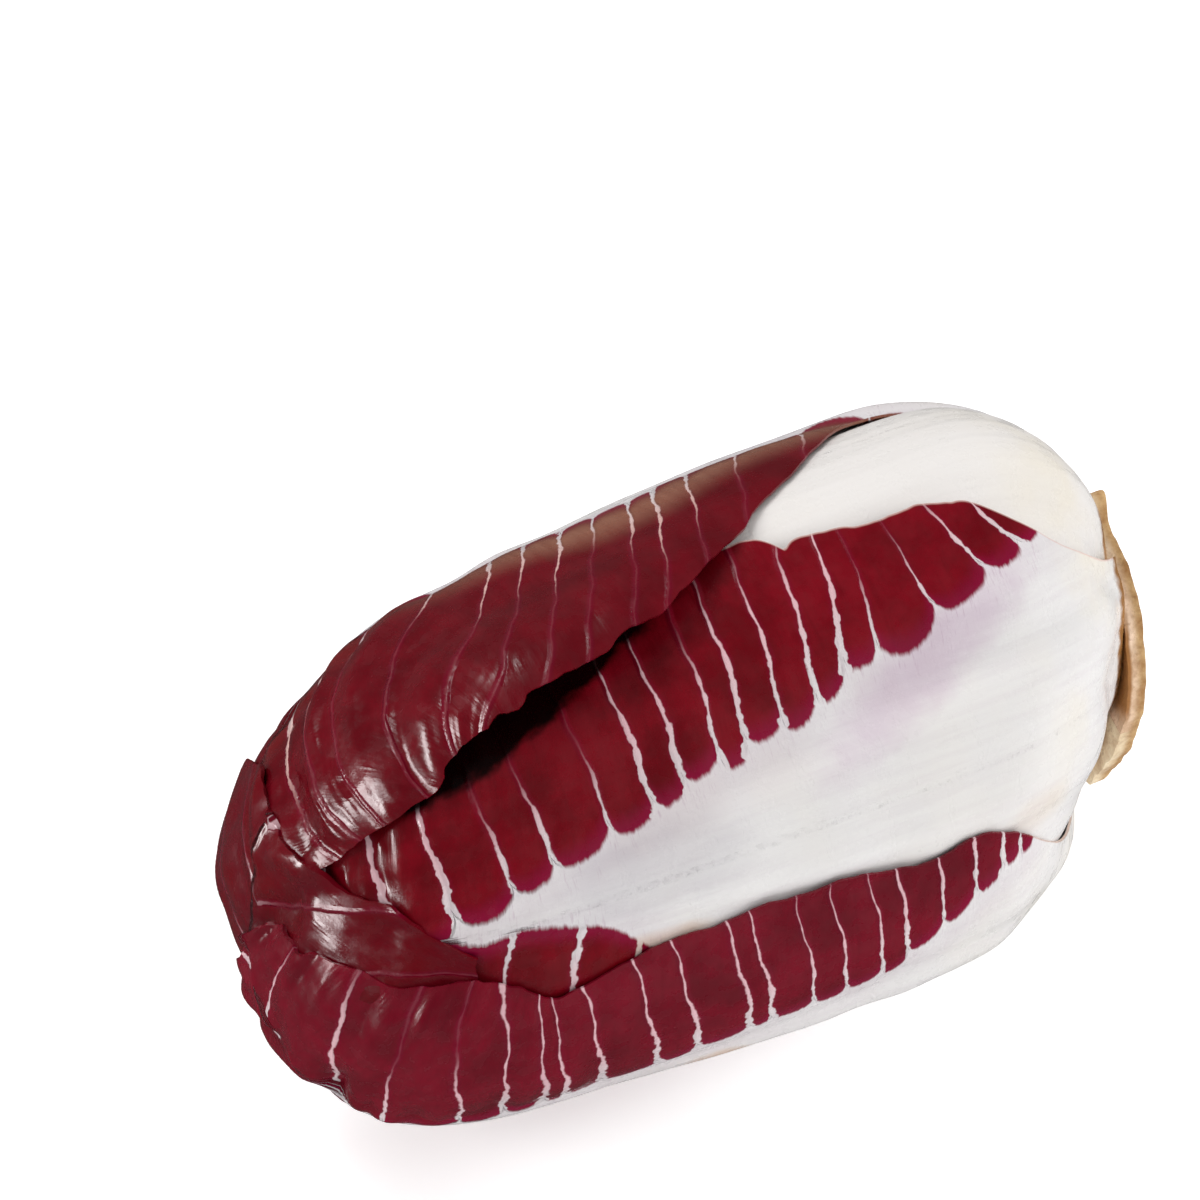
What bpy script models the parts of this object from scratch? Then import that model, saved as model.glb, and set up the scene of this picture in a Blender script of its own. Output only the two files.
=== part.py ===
"""A head of long red radicchio lying on its side.

The head is laid up as it grows: a closed heart first, then each leaf wrapped over what is there.
The stem end is towards +X, the tip towards -X, and the surface that it lies on is z = 0.

A place on the head is given from a straight spine along X. Between the spine's two ends a ray
leaves it squarely; past an end the rays fan out of that end. A station is a length in millimetres
along the ray's foot and fan, from the middle of the cut stem, over the belly, to the tip and on
past it. An angle round the head is in degrees: 0 is the front (-Y), 90 the top, 270 the underside.
"""

import math

import bmesh
import bpy
import numpy as np

# The spine and the fan at its ends, in metres.
FAN_RADIUS = 0.042
SPINE_BASE_X = 0.043
SPINE_TIP_X = -0.040
BASE_STATION = FAN_RADIUS * math.pi / 2
TIP_STATION = BASE_STATION + SPINE_BASE_X - SPINE_TIP_X

# The leaves and the stem meet at this plane, where the head was cut.
CUT_X = 0.0765
STEM_RADIUS = 0.0240
STEM_THICKNESS = 0.0036
STEM_GAP = 0.0003
STEM_SIDES = 44
STEM_UNEVEN = 0.012
# Steps on the stem's cut face, from the rim in: (width, rise).
STEM_STEPS = [
    (0.0012, 0.0006), (0.0030, -0.0007), (0.0010, 0.0005), (0.0038, -0.0006), (0.0010, 0.0005),
    (0.0050, 0.0003),
]

# Both ends lean: their upper back lies further along +X than their lower front.
LEAN = 0.20
LEAN_TOWARDS = (0.0, 0.743, 0.669)
LEAN_FROM_X = 0.005
LEAN_LENGTH = 0.060

# How leaves lie on each other.
LEAF_GAP = 0.0008
BLADE_THICKNESS = 0.0009
MARGIN_THICKNESS = 0.0007
BRIDGE_REACH = 0.0070
NECK_BRIDGE_REACH = 0.0035
NECK_BRIDGE_TO = 0.024
BRIDGE_GROWS_OVER = 0.020
BRIDGE_BLUR = 0.0028
BRIDGE_STEP = 0.0020
BRIDGE_WIDTH = math.radians(95)
FIRST_STATION = 0.004
# A margin lifts off from this share of the half width on.
LIFT_FROM = 0.55
RIB_CROWN = 1.15

# The head settles this deep, which presses a small flat spot under it.
REST_DEPTH = 0.0016

# The heart's reach from the spine: (station in mm, reach in mm).
HEART_REACH = [
    (0, 34.5), (10, 30.8), (18, 26.9), (25, 26.3), (34, 30.3), (44, 34.2), (56, 36.9), (70, 38.5),
    (99, 39.5), (125, 38.2), (149, 35.6), (171, 34.0), (193, 33.3), (215, 33.5),
]
HEART_RINGS = 20
HEART_SIDES = 24
HEART_RIDGES = 7
HEART_RIDGE_HEIGHT = 0.0008
HEART_RIDGE_TURN = 9.0
HEART_RIDGE_FADE = 0.05
# The ends are fuller on their upper back than on their lower front: (station in mm, reach in mm).
FULLER = [
    (0, 0), (15, 2.2), (30, 4.0), (44, 5.1), (60, 3.1), (90, 0), (115, 0), (150, 1.1), (180, 1.0),
    (215, 0),
]
FULLER_TOWARDS = math.radians(138)

# The map of how far the head reaches, kept while the leaves go on.
MAP_STATIONS = 150
MAP_ANGLES = 240

RED = (0.30, 0.012, 0.045, 1.0)
WHITE = (0.86, 0.85, 0.80, 1.0)
TAN = (0.62, 0.42, 0.22, 1.0)

# Each leaf, from the innermost out. Stations are in mm; theta is where its midline lies round the head,
# and left and right are its margins on either side of that, in degrees; rib is the white rib's half width
# in degrees, thick its thickness in mm and lift how far its margins stand off, in mm. The end is the
# midline's last station, and drops are how far the corners fall short of it.
INNER = dict(
    end=206, drops=(26, 26),
    left=[(0, 18), (30, 26), (60, 44), (100, 54), (160, 52), (205, 40)],
    right=[(0, 18), (30, 26), (60, 44), (100, 54), (160, 52), (205, 40)],
    rib=[(0, 16), (60, 15), (130, 8), (205, 3)],
    thick=[(0, 1.4), (30, 2.2), (60, 3.2), (130, 1.8), (200, 1.0)],
    lift=[(0, 0), (215, 0)],
)
LEAVES = [
    INNER | dict(name="leaf_inner_1", theta=[(0, 80), (215, 80)]),
    INNER | dict(name="leaf_inner_2", theta=[(0, 352), (215, 352)]),
    INNER | dict(name="leaf_inner_3", theta=[(0, 205), (215, 205)], end=212, drops=(30, 30)),
    dict(
        name="leaf_top", theta=[(0, 116), (215, 116)], end=200, drops=(24, 24),
        left=[(0, 26), (24, 32), (40, 38), (60, 44), (100, 50), (160, 50), (200, 38)],
        right=[(0, 26), (24, 32), (40, 37), (60, 43), (100, 50), (160, 50), (200, 38)],
        rib=[(0, 28), (50, 32), (90, 26), (140, 11), (200, 3)],
        thick=[(0, 2.0), (30, 3.4), (55, 4.2), (100, 3.2), (150, 1.9), (200, 1.0)],
        lift=[(0, 0), (215, 0)],
    ),
    dict(
        name="leaf_back", theta=[(0, 226), (215, 222)], end=208, drops=(28, 28),
        left=[(0, 16), (24, 20), (40, 32), (60, 46), (100, 58), (160, 58), (208, 42)],
        right=[(0, 16), (24, 20), (40, 32), (60, 44), (100, 54), (160, 54), (208, 40)],
        rib=[(0, 18), (50, 22), (100, 17), (150, 9), (208, 3)],
        thick=[(0, 1.4), (30, 2.6), (55, 4.0), (100, 3.0), (150, 1.8), (205, 1.0)],
        lift=[(0, 0), (215, 0.2)],
    ),
    dict(
        name="leaf_front", theta=[(0, 33), (215, 32)], end=196, drops=(20, 20),
        left=[(0, 34), (24, 42), (38, 44), (50, 45), (75, 49), (110, 54), (150, 52), (196, 38)],
        right=[
            (0, 20), (24, 25), (36, 29), (46, 36), (53, 43), (61, 51), (70, 55), (92, 57), (110, 60),
            (140, 60), (196, 44),
        ],
        rib=[(0, 22), (40, 24), (70, 22), (110, 15), (150, 7), (196, 3)],
        thick=[(0, 2.2), (30, 3.2), (55, 4.2), (100, 3.3), (150, 2.0), (190, 1.1)],
        lift=[(0, 0), (215, 0.3)],
    ),
    dict(
        name="leaf_over_top", theta=[(0, 164), (60, 158), (150, 143), (215, 141)], end=210,
        drops=(6, 30),
        left=[
            (0, 13), (24, 17), (42, 21), (56, 23), (66, 28), (83, 46), (100, 61), (114, 68), (132, 70),
            (150, 70), (173, 69), (192, 64), (203, 51), (211, 46),
        ],
        right=[(0, 14), (24, 19), (40, 30), (60, 40), (100, 48), (150, 48), (205, 38)],
        rib=[(0, 15), (50, 21), (100, 15), (150, 8), (205, 3)],
        thick=[(0, 1.2), (30, 2.6), (55, 4.0), (100, 3.0), (150, 1.8), (205, 1.0)],
        lift=[(0, 0), (70, 0.5), (110, 2.0), (150, 2.6), (185, 0.8), (205, 0.3)],
    ),
    dict(
        name="leaf_tip", theta=[(0, 270), (60, 270), (150, 275), (215, 280)], end=238,
        drops=(22, -8),
        left=[(0, 16), (24, 20), (40, 32), (60, 42), (100, 52), (150, 60), (200, 64), (246, 56)],
        right=[(0, 14), (24, 18), (40, 28), (60, 40), (100, 52), (150, 64), (200, 72), (246, 66)],
        rib=[(0, 18), (50, 20), (100, 15), (150, 9), (215, 4), (246, 3)],
        thick=[(0, 1.2), (30, 2.0), (55, 3.7), (100, 3.6), (150, 2.2), (215, 1.2)],
        lift=[(0, 0), (160, 0.2), (246, 0.4)],
    ),
    dict(
        name="leaf_low", theta=[(0, 322), (60, 323), (215, 323)], end=213, drops=(34, 26),
        left=[(0, 13), (24, 16), (40, 20), (60, 23), (110, 27), (150, 34), (220, 38)],
        right=[
            (0, 8), (24, 12), (36, 17), (45, 28), (56, 43), (66, 51), (90, 53), (115, 56), (132, 55),
            (147, 51), (167, 54), (187, 47), (220, 40),
        ],
        rib=[(0, 15), (50, 22), (100, 18), (150, 9), (220, 3)],
        thick=[(0, 1.1), (30, 1.9), (55, 3.5), (100, 3.2), (150, 1.8), (215, 1.0)],
        lift=[(0, 0), (110, 0.3), (220, 0.4)],
    ),
]
LEAF_ROWS = 21
LEAF_COLUMNS = 14
MM = 0.001


def clear_scene():
    for obj in list(bpy.data.objects):
        bpy.data.objects.remove(obj)


def through(points, at):
    """A smooth curve through (station in mm, value) pairs, level past its ends; at is in metres."""
    stations, values = np.array(points, float).T
    slopes = np.gradient(values, stations)
    at = np.clip(np.asarray(at, float) / MM, stations[0], stations[-1])
    k = np.clip(np.searchsorted(stations, at) - 1, 0, len(stations) - 2)
    width = stations[k + 1] - stations[k]
    f = (at - stations[k]) / width
    rise = f * f * (3 - 2 * f)
    bend = f * (1 - f) * width
    return (1 - rise) * values[k] + rise * values[k + 1] + bend * ((1 - f) * slopes[k] - f * slopes[k + 1])


def smooth_step(x):
    x = np.clip(x, 0, 1)
    return x * x * (3 - 2 * x)


def round_the_head(theta):
    """Outward and sideways directions at an angle round the head, in radians."""
    outward = np.stack([0 * theta, -np.cos(theta), np.sin(theta)], -1)
    sideways = np.stack([0 * theta, np.sin(theta), np.cos(theta)], -1)
    return outward, sideways


def rays(leaf, s, phi):
    """Where the rays of leaf coordinates leave the spine, and their directions."""
    outward, sideways = round_the_head(np.radians(through(leaf["theta"], s)))
    tilt = (np.clip(BASE_STATION - s, 0, None) - np.clip(s - TIP_STATION, 0, None)) / FAN_RADIUS
    foot_x = SPINE_BASE_X - np.clip(s - BASE_STATION, 0, TIP_STATION - BASE_STATION)
    along = np.array([1.0, 0.0, 0.0])
    middle = np.cos(tilt)[..., None] * outward + np.sin(tilt)[..., None] * along
    ray = np.cos(phi)[..., None] * middle + np.sin(phi)[..., None] * sideways
    return foot_x, ray, tilt


def on_the_map(s, ray, tilt):
    """Station and angle round the head of each ray."""
    lean = FAN_RADIUS * np.arcsin(np.clip(ray[..., 0], -1, 1))
    station = np.where(tilt > 0, BASE_STATION - lean, np.where(tilt < 0, TIP_STATION - lean, s))
    return station, np.arctan2(ray[..., 2], -ray[..., 1])


def leaf_coordinates(leaf, station, theta):
    """The leaf's own station and lateral angle for places on the map."""
    inside_spine = np.clip(station, BASE_STATION, TIP_STATION)
    tilt = (inside_spine - station) / FAN_RADIUS
    outward, _ = round_the_head(theta)
    leaf_out, leaf_side = round_the_head(np.radians(through(leaf["theta"], inside_spine)))
    side = np.cos(tilt) * (outward * leaf_side).sum(-1)
    out = np.cos(tilt) * (outward * leaf_out).sum(-1)
    turned = np.arctan2(np.sin(tilt), out)
    s = inside_spine - FAN_RADIUS * turned
    straight = tilt == 0
    phi = np.where(straight, np.arctan2(side, out), np.arcsin(np.clip(side, -1, 1)))
    return np.where(straight, station, s), phi


def margins(leaf, s):
    """The lateral angles of the leaf's two margins at a station."""
    return -np.radians(through(leaf["left"], s)), np.radians(through(leaf["right"], s))


def last_station(leaf, v):
    """Where the leaf ends, by its share v across, from -1 to 1."""
    drop = np.where(v < 0, leaf["drops"][0], leaf["drops"][1]) * MM
    return leaf["end"] * MM - drop * np.abs(v) ** 3


def thickness(leaf, s, phi, v):
    """The leaf's thickness: a crowned rib in a thin blade that thins to its margins."""
    rib = np.radians(through(leaf["rib"], s))
    crown = smooth_step(RIB_CROWN * (1 - (phi / rib) ** 2))
    blade = BLADE_THICKNESS + (MARGIN_THICKNESS - BLADE_THICKNESS) * np.abs(v) ** 4
    return blade + crown * np.clip(through(leaf["thick"], s) * MM - blade, 0, None)


def leaned(points):
    """The points with the ends' lean, which comes in smoothly from the middle of the head."""
    points = np.array(points, float)
    share = smooth_step((np.abs(points[..., 0]) - LEAN_FROM_X) / LEAN_LENGTH)
    points[..., 0] += LEAN * share * (points @ np.array(LEAN_TOWARDS))
    return points


class Reach:
    """How far the head reaches from its spine, by station and angle round it."""

    def __init__(self):
        self.stations = np.linspace(0, TIP_STATION + BASE_STATION, MAP_STATIONS)
        self.thetas = np.arange(MAP_ANGLES) * 2 * math.pi / MAP_ANGLES
        self.grid = np.meshgrid(self.stations, self.thetas, indexing="ij")
        self.far = heart_reach(*self.grid)

    def at(self, station, theta):
        i = np.clip(station / self.stations[-1], 0, 1) * (MAP_STATIONS - 1)
        j = (theta / (2 * math.pi)) % 1.0 * MAP_ANGLES
        i0 = np.clip(i.astype(int), 0, MAP_STATIONS - 2)
        j0 = j.astype(int) % MAP_ANGLES
        j1 = (j0 + 1) % MAP_ANGLES
        fi, fj = i - i0, j - np.floor(j)
        low = self.far[i0, j0] * (1 - fj) + self.far[i0, j1] * fj
        high = self.far[i0 + 1, j0] * (1 - fj) + self.far[i0 + 1, j1] * fj
        return low * (1 - fi) + high * fi

    def add(self, leaf, outer):
        """Raises the map where the leaf covers it; outer is the leaf's reach by row and column."""
        s, phi = leaf_coordinates(leaf, *self.grid)
        left, right = margins(leaf, s)
        v = np.where(phi < 0, -phi / left, phi / right)
        end = last_station(leaf, np.clip(v, -1, 1))
        u = (s - FIRST_STATION) / (end - FIRST_STATION)
        covered = (np.abs(v) <= 1) & (u >= 0) & (u <= 1)
        rows, columns = outer.shape
        i = np.clip(u, 0, 1) * (rows - 1)
        j = (np.clip(v, -1, 1) + 1) / 2 * (columns - 1)
        i0 = np.clip(i.astype(int), 0, rows - 2)
        j0 = np.clip(j.astype(int), 0, columns - 2)
        fi, fj = i - i0, j - j0
        low = outer[i0, j0] * (1 - fj) + outer[i0, j0 + 1] * fj
        high = outer[i0 + 1, j0] * (1 - fj) + outer[i0 + 1, j0 + 1] * fj
        laid = low * (1 - fi) + high * fi
        self.far = np.where(covered, np.maximum(self.far, laid), self.far)


def heart_reach(station, theta):
    """The heart's reach: a plump core whose packed leaf margins wind round it as low ridges."""
    reach = through(HEART_REACH, station) + through(FULLER, station) * np.cos(theta - FULLER_TOWARDS)
    ridge = np.cos(HEART_RIDGES * (theta + station * HEART_RIDGE_TURN))
    fade = smooth_step((TIP_STATION + BASE_STATION - station) / HEART_RIDGE_FADE)
    return reach * MM + HEART_RIDGE_HEIGHT * ridge * fade


def spread(field, reach, steps):
    """The highest value within reach of each place of a grid, by its two steps."""
    for axis, step in enumerate(steps):
        n = max(1, round(reach / step))
        pad = [(n, n) if a == axis else (0, 0) for a in (0, 1)]
        wide = np.pad(field, pad, mode="edge")
        size = field.shape[axis]
        field = np.max([np.take(wide, range(k, k + size), axis) for k in range(2 * n + 1)], 0)
    return field


def blurred(field, width, steps):
    """The field with its steps rounded off."""
    for axis, step in enumerate(steps):
        n = max(1, round(2.5 * width / step))
        weights = np.exp(-0.5 * (np.arange(-n, n + 1) * step / width) ** 2)
        weights /= weights.sum()
        pad = [(n, n) if a == axis else (0, 0) for a in (0, 1)]
        wide = np.pad(field, pad, mode="edge")
        size = field.shape[axis]
        field = sum(w * np.take(wide, range(k, k + size), axis) for k, w in enumerate(weights))
    return field


def bridged(reach, leaf, s, phi):
    """The lowest that a leaf can lie at (s, phi) over what is there, bridging its steps smoothly."""
    angle_step = BRIDGE_STEP / FAN_RADIUS
    rows = np.arange(0, leaf["end"] * MM + 2 * BRIDGE_REACH, BRIDGE_STEP)
    columns = np.arange(-BRIDGE_WIDTH, BRIDGE_WIDTH, angle_step)
    grid_s, grid_phi = np.meshgrid(rows, columns, indexing="ij")
    _, ray, tilt = rays(leaf, grid_s, grid_phi)
    found = reach.at(*on_the_map(grid_s, ray, tilt))
    steps = (BRIDGE_STEP, BRIDGE_STEP)
    close, wide = (
        blurred(spread(found, width, steps), BRIDGE_BLUR, steps)
        for width in (NECK_BRIDGE_REACH, BRIDGE_REACH)
    )
    found = close + smooth_step((grid_s - NECK_BRIDGE_TO) / BRIDGE_GROWS_OVER) * (wide - close)
    i = np.clip(s / BRIDGE_STEP, 0, len(rows) - 1.001)
    j = np.clip((phi - columns[0]) / angle_step, 0, len(columns) - 1.001)
    i0, j0 = i.astype(int), j.astype(int)
    fi, fj = i - i0, j - j0
    low = found[i0, j0] * (1 - fj) + found[i0, j0 + 1] * fj
    high = found[i0 + 1, j0] * (1 - fj) + found[i0 + 1, j0 + 1] * fj
    return low * (1 - fi) + high * fi


def material(name, colour, roughness):
    made = bpy.data.materials.get(name) or bpy.data.materials.new(name)
    made.use_nodes = True
    shader = made.node_tree.nodes["Principled BSDF"]
    shader.inputs["Base Color"].default_value = colour
    shader.inputs["Roughness"].default_value = roughness
    shader.inputs["Metallic"].default_value = 0.0
    return made


def place(name, mesh, collection, head):
    obj = bpy.data.objects.new(name, mesh)
    collection.objects.link(obj)
    obj.parent = head
    return obj


def make_leaf(leaf, reach, collection, head):
    """One leaf: a grid laid over the head, thickened outwards by the rib and the blade."""
    rows, columns = LEAF_ROWS, LEAF_COLUMNS
    u, v = np.meshgrid(np.linspace(0, 1, rows), np.linspace(-1, 1, columns), indexing="ij")
    s = FIRST_STATION + (last_station(leaf, v) - FIRST_STATION) * u
    left, right = margins(leaf, s)
    phi = np.where(v < 0, -v * left, v * right)
    edge = smooth_step((np.abs(v) - LIFT_FROM) / (1 - LIFT_FROM))
    inner = bridged(reach, leaf, s, phi) + LEAF_GAP + through(leaf["lift"], s) * MM * edge
    thick = thickness(leaf, s, phi, v)
    reach.add(leaf, inner + thick)

    foot_x, ray, _ = rays(leaf, s, phi)
    places = ray * inner[..., None]
    places[..., 0] += foot_x
    places = leaned(places)
    bm = bmesh.new()
    bmesh.ops.create_grid(bm, x_segments=columns - 1, y_segments=rows - 1, size=1)
    order = sorted(bm.verts, key=lambda vert: (round(vert.co.y, 4), round(vert.co.x, 4)))
    for vert, where in zip(order, places.reshape(-1, 3)):
        vert.co = where
    bm.verts.index_update()
    numbers = [vert.index for vert in order]
    mesh = bpy.data.meshes.new(leaf["name"])
    bm.to_mesh(mesh)
    bm.free()
    obj = place(leaf["name"], mesh, collection, head)

    group = obj.vertex_groups.new(name="thickness")
    most = float(thick.max())
    for number, here in zip(numbers, thick.reshape(-1)):
        group.add([number], float(here) / most, "REPLACE")
    shell = obj.modifiers.new("blade and rib", "SOLIDIFY")
    shell.thickness = most
    shell.offset = 1.0 if outward_facing(mesh) else -1.0
    shell.vertex_group = group.name
    shell.use_even_offset = False
    mesh.materials.append(material("red leaf", RED, 0.35))
    mesh.materials.append(material("white rib", WHITE, 0.45))
    rib = np.abs(phi) < np.radians(through(leaf["rib"], s))
    paint_rib(mesh, dict(zip(numbers, rib.reshape(-1))))
    mesh.shade_smooth()
    return obj


def outward_facing(mesh):
    """Whether the laid grid's faces point away from the spine, judged on the widest part."""
    votes = 0
    for face in mesh.polygons:
        away = np.array(face.center) * (0, 1, 1)
        votes += np.dot(away, face.normal) > 0
    return votes > len(mesh.polygons) / 2


def paint_rib(mesh, in_rib):
    """The white rib as the second material."""
    for face in mesh.polygons:
        face.material_index = int(all(in_rib[k] for k in face.vertices))


def make_heart(collection, head):
    """The heart, from a sphere whose rings follow the stations."""
    bm = bmesh.new()
    bmesh.ops.create_uvsphere(bm, u_segments=HEART_SIDES, v_segments=HEART_RINGS, radius=1)
    length = TIP_STATION + BASE_STATION
    for vert in bm.verts:
        polar = math.acos(max(-1.0, min(1.0, vert.co.z)))
        station = np.float64(polar / math.pi * length)
        theta = np.float64(math.atan2(vert.co.y, vert.co.x))
        tilt = (np.clip(station, BASE_STATION, TIP_STATION) - station) / FAN_RADIUS
        outward, _ = round_the_head(theta)
        far = float(heart_reach(station, theta)) - LEAF_GAP / 2
        foot_x = SPINE_BASE_X - float(np.clip(station - BASE_STATION, 0, TIP_STATION - BASE_STATION))
        ray = math.cos(tilt) * outward + math.sin(tilt) * np.array([1.0, 0.0, 0.0])
        vert.co = leaned(far * ray + np.array([foot_x, 0.0, 0.0]))
    bmesh.ops.recalc_face_normals(bm, faces=bm.faces)
    mesh = bpy.data.meshes.new("heart")
    bm.to_mesh(mesh)
    bm.free()
    mesh.materials.append(material("heart leaves", WHITE, 0.5))
    mesh.shade_smooth()
    return place("heart", mesh, collection, head)


def make_cut_stem(collection, head):
    """The cut stem: a disc with an uneven rim, whose face steps down over the scars of trimmed leaves."""
    bm = bmesh.new()
    bmesh.ops.create_cone(
        bm, cap_ends=True, segments=STEM_SIDES, radius1=STEM_RADIUS, radius2=STEM_RADIUS,
        depth=STEM_THICKNESS,
    )
    face = max(bm.faces, key=lambda found: found.calc_center_median().z)
    for width, rise in STEM_STEPS:
        bmesh.ops.inset_region(bm, faces=[face], thickness=width, depth=rise)
    middle = CUT_X + STEM_GAP + STEM_THICKNESS / 2
    for vert in bm.verts:
        turn = math.atan2(vert.co.y, vert.co.x)
        waves = math.sin(3 * turn + 0.7) + 0.6 * math.sin(7 * turn) + 0.4 * math.sin(11 * turn + 2)
        uneven = 1 + STEM_UNEVEN * waves
        vert.co = leaned((middle + vert.co.z, vert.co.x * uneven, vert.co.y * uneven))
    mesh = bpy.data.meshes.new("cut_stem")
    bm.to_mesh(mesh)
    bm.free()
    mesh.materials.append(material("cut stem", TAN, 0.7))
    return place("cut_stem", mesh, collection, head)


def make_cutter(name, low, high, cutters, shape=np.array):
    """A plain box that cuts others and isn't part of the head."""
    bm = bmesh.new()
    bmesh.ops.create_cube(bm, size=1)
    middle, size = (np.array(low) + high) / 2, np.array(high) - low
    for vert in bm.verts:
        vert.co = shape(middle + size * vert.co)
    mesh = bpy.data.meshes.new(name)
    bm.to_mesh(mesh)
    bm.free()
    obj = bpy.data.objects.new(name, mesh)
    cutters.objects.link(obj)
    obj.hide_render = True
    obj.display_type = "WIRE"
    return obj


def cut(obj, cutter):
    modifier = obj.modifiers.new(cutter.name, "BOOLEAN")
    modifier.operation = "DIFFERENCE"
    modifier.object = cutter


def corners(objects):
    """The lowest and highest corner of each object, its modifiers included."""
    bpy.context.view_layer.update()
    graph = bpy.context.evaluated_depsgraph_get()
    found = []
    for obj in objects:
        shown = obj.evaluated_get(graph)
        points = np.array([shown.matrix_world @ vert.co for vert in shown.data.vertices])
        found.append((points.min(0), points.max(0)))
    return np.array(found)


def build():
    clear_scene()
    collection = bpy.data.collections.new("radicchio head")
    cutters = bpy.data.collections.new("cutters")
    for made in (collection, cutters):
        bpy.context.scene.collection.children.link(made)
    head = bpy.data.objects.new("head", None)
    collection.objects.link(head)

    heart = make_heart(collection, head)
    reach = Reach()
    leaves = [make_leaf(leaf, reach, collection, head) for leaf in LEAVES]
    stem = make_cut_stem(collection, head)
    knife = make_cutter("knife", (CUT_X, -0.08, -0.08), (CUT_X + 0.08, 0.08, 0.08), cutters, leaned)
    knife.parent = head
    for obj in [heart, *leaves]:
        cut(obj, knife)

    # The origin is under the middle of the head, and the lowest leaf is pressed flat where it lies.
    boxes = corners([heart, stem, *leaves])
    low, high = boxes[:, 0].min(0), boxes[:, 1].max(0)
    head.location = (-(low[0] + high[0]) / 2, -(low[1] + high[1]) / 2, -low[2] - REST_DEPTH)
    floor = make_cutter("floor", (-0.1, -0.1, -0.05), (0.1, 0.1, 0.0), cutters)
    for obj, box in zip(leaves, boxes[2:]):
        if box[0][2] < low[2] + REST_DEPTH:
            cut(obj, floor)


build()
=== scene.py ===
# %% [markdown]
# # A head of long red radicchio
#
# Radicchio is a chicory whose leaves wrap round each other into a closed head. Each leaf has a
# broad white rib and a thin dark red blade, and white side veins cut the red into fingers. The
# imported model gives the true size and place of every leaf. This script lays finer leaves over it,
# in the same way: a heart first, and then one leaf after another over what is already there.

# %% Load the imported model
import math

import bpy
import numpy as np
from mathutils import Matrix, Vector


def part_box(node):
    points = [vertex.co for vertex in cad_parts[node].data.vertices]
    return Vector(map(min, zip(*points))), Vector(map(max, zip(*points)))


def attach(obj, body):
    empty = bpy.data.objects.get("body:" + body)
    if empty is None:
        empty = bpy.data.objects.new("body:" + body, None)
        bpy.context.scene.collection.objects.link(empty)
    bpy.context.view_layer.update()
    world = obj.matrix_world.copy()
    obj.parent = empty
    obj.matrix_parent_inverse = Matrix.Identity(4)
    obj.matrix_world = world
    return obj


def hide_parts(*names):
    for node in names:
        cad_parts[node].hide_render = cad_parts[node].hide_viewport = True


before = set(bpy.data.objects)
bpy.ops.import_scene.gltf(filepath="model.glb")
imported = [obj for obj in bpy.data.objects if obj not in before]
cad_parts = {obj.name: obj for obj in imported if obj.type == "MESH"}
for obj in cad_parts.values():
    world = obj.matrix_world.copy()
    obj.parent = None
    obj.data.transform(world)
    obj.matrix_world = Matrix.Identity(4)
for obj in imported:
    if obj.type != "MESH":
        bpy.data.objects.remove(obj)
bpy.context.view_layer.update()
bpy.context.scene.view_settings.view_transform = "Standard"

# %% [markdown]
# ## Places on the head
#
# A flat sheet is easy to describe by its length and width, and a leaf is a sheet that was wrapped.
# So a place on a leaf is a station, the length along its midline from the base, and an angle to
# the side of that midline. A straight spine runs through the head. Between the spine's ends a ray
# leaves it squarely, and past an end the rays fan out of that end, which closes the head over.

# %% The spine and the curves that hold listed numbers
MM = 0.001
FAN_RADIUS = 0.042
SPINE_BASE_X = 0.043
SPINE_TIP_X = -0.040
BASE_STATION = FAN_RADIUS * math.pi / 2
TIP_STATION = BASE_STATION + SPINE_BASE_X - SPINE_TIP_X
WHOLE = TIP_STATION + BASE_STATION
MM_PER_DEGREE = 0.77


def through(points, at):
    """A smooth curve through (station in mm, value) pairs, level past its ends; at is in metres."""
    stations, values = np.array(points, float).T
    slopes = np.gradient(values, stations)
    at = np.clip(np.asarray(at, float) / MM, stations[0], stations[-1])
    k = np.clip(np.searchsorted(stations, at) - 1, 0, len(stations) - 2)
    width = stations[k + 1] - stations[k]
    f = (at - stations[k]) / width
    rise = f * f * (3 - 2 * f)
    bend = f * (1 - f) * width
    return (1 - rise) * values[k] + rise * values[k + 1] + bend * ((1 - f) * slopes[k] - f * slopes[k + 1])


def smooth_step(x):
    x = np.clip(x, 0, 1)
    return x * x * (3 - 2 * x)


print("from the base over the belly to the tip:", round(WHOLE / MM), "mm")


# %% From leaf coordinates to rays and back
def round_the_head(theta):
    """Outward and sideways directions at an angle round the head, in radians."""
    outward = np.stack([0 * theta, -np.cos(theta), np.sin(theta)], -1)
    sideways = np.stack([0 * theta, np.sin(theta), np.cos(theta)], -1)
    return outward, sideways


def rays(leaf, s, phi):
    """Where the rays of leaf coordinates leave the spine, and their directions."""
    outward, sideways = round_the_head(np.radians(through(leaf["theta"], s)))
    tilt = (np.clip(BASE_STATION - s, 0, None) - np.clip(s - TIP_STATION, 0, None)) / FAN_RADIUS
    foot_x = SPINE_BASE_X - np.clip(s - BASE_STATION, 0, TIP_STATION - BASE_STATION)
    along = np.array([1.0, 0.0, 0.0])
    middle = np.cos(tilt)[..., None] * outward + np.sin(tilt)[..., None] * along
    ray = np.cos(phi)[..., None] * middle + np.sin(phi)[..., None] * sideways
    return foot_x, ray, tilt


def on_the_map(s, ray, tilt):
    """Station and angle round the head of each ray."""
    lean = FAN_RADIUS * np.arcsin(np.clip(ray[..., 0], -1, 1))
    station = np.where(tilt > 0, BASE_STATION - lean, np.where(tilt < 0, TIP_STATION - lean, s))
    return station, np.arctan2(ray[..., 2], -ray[..., 1])


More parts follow.
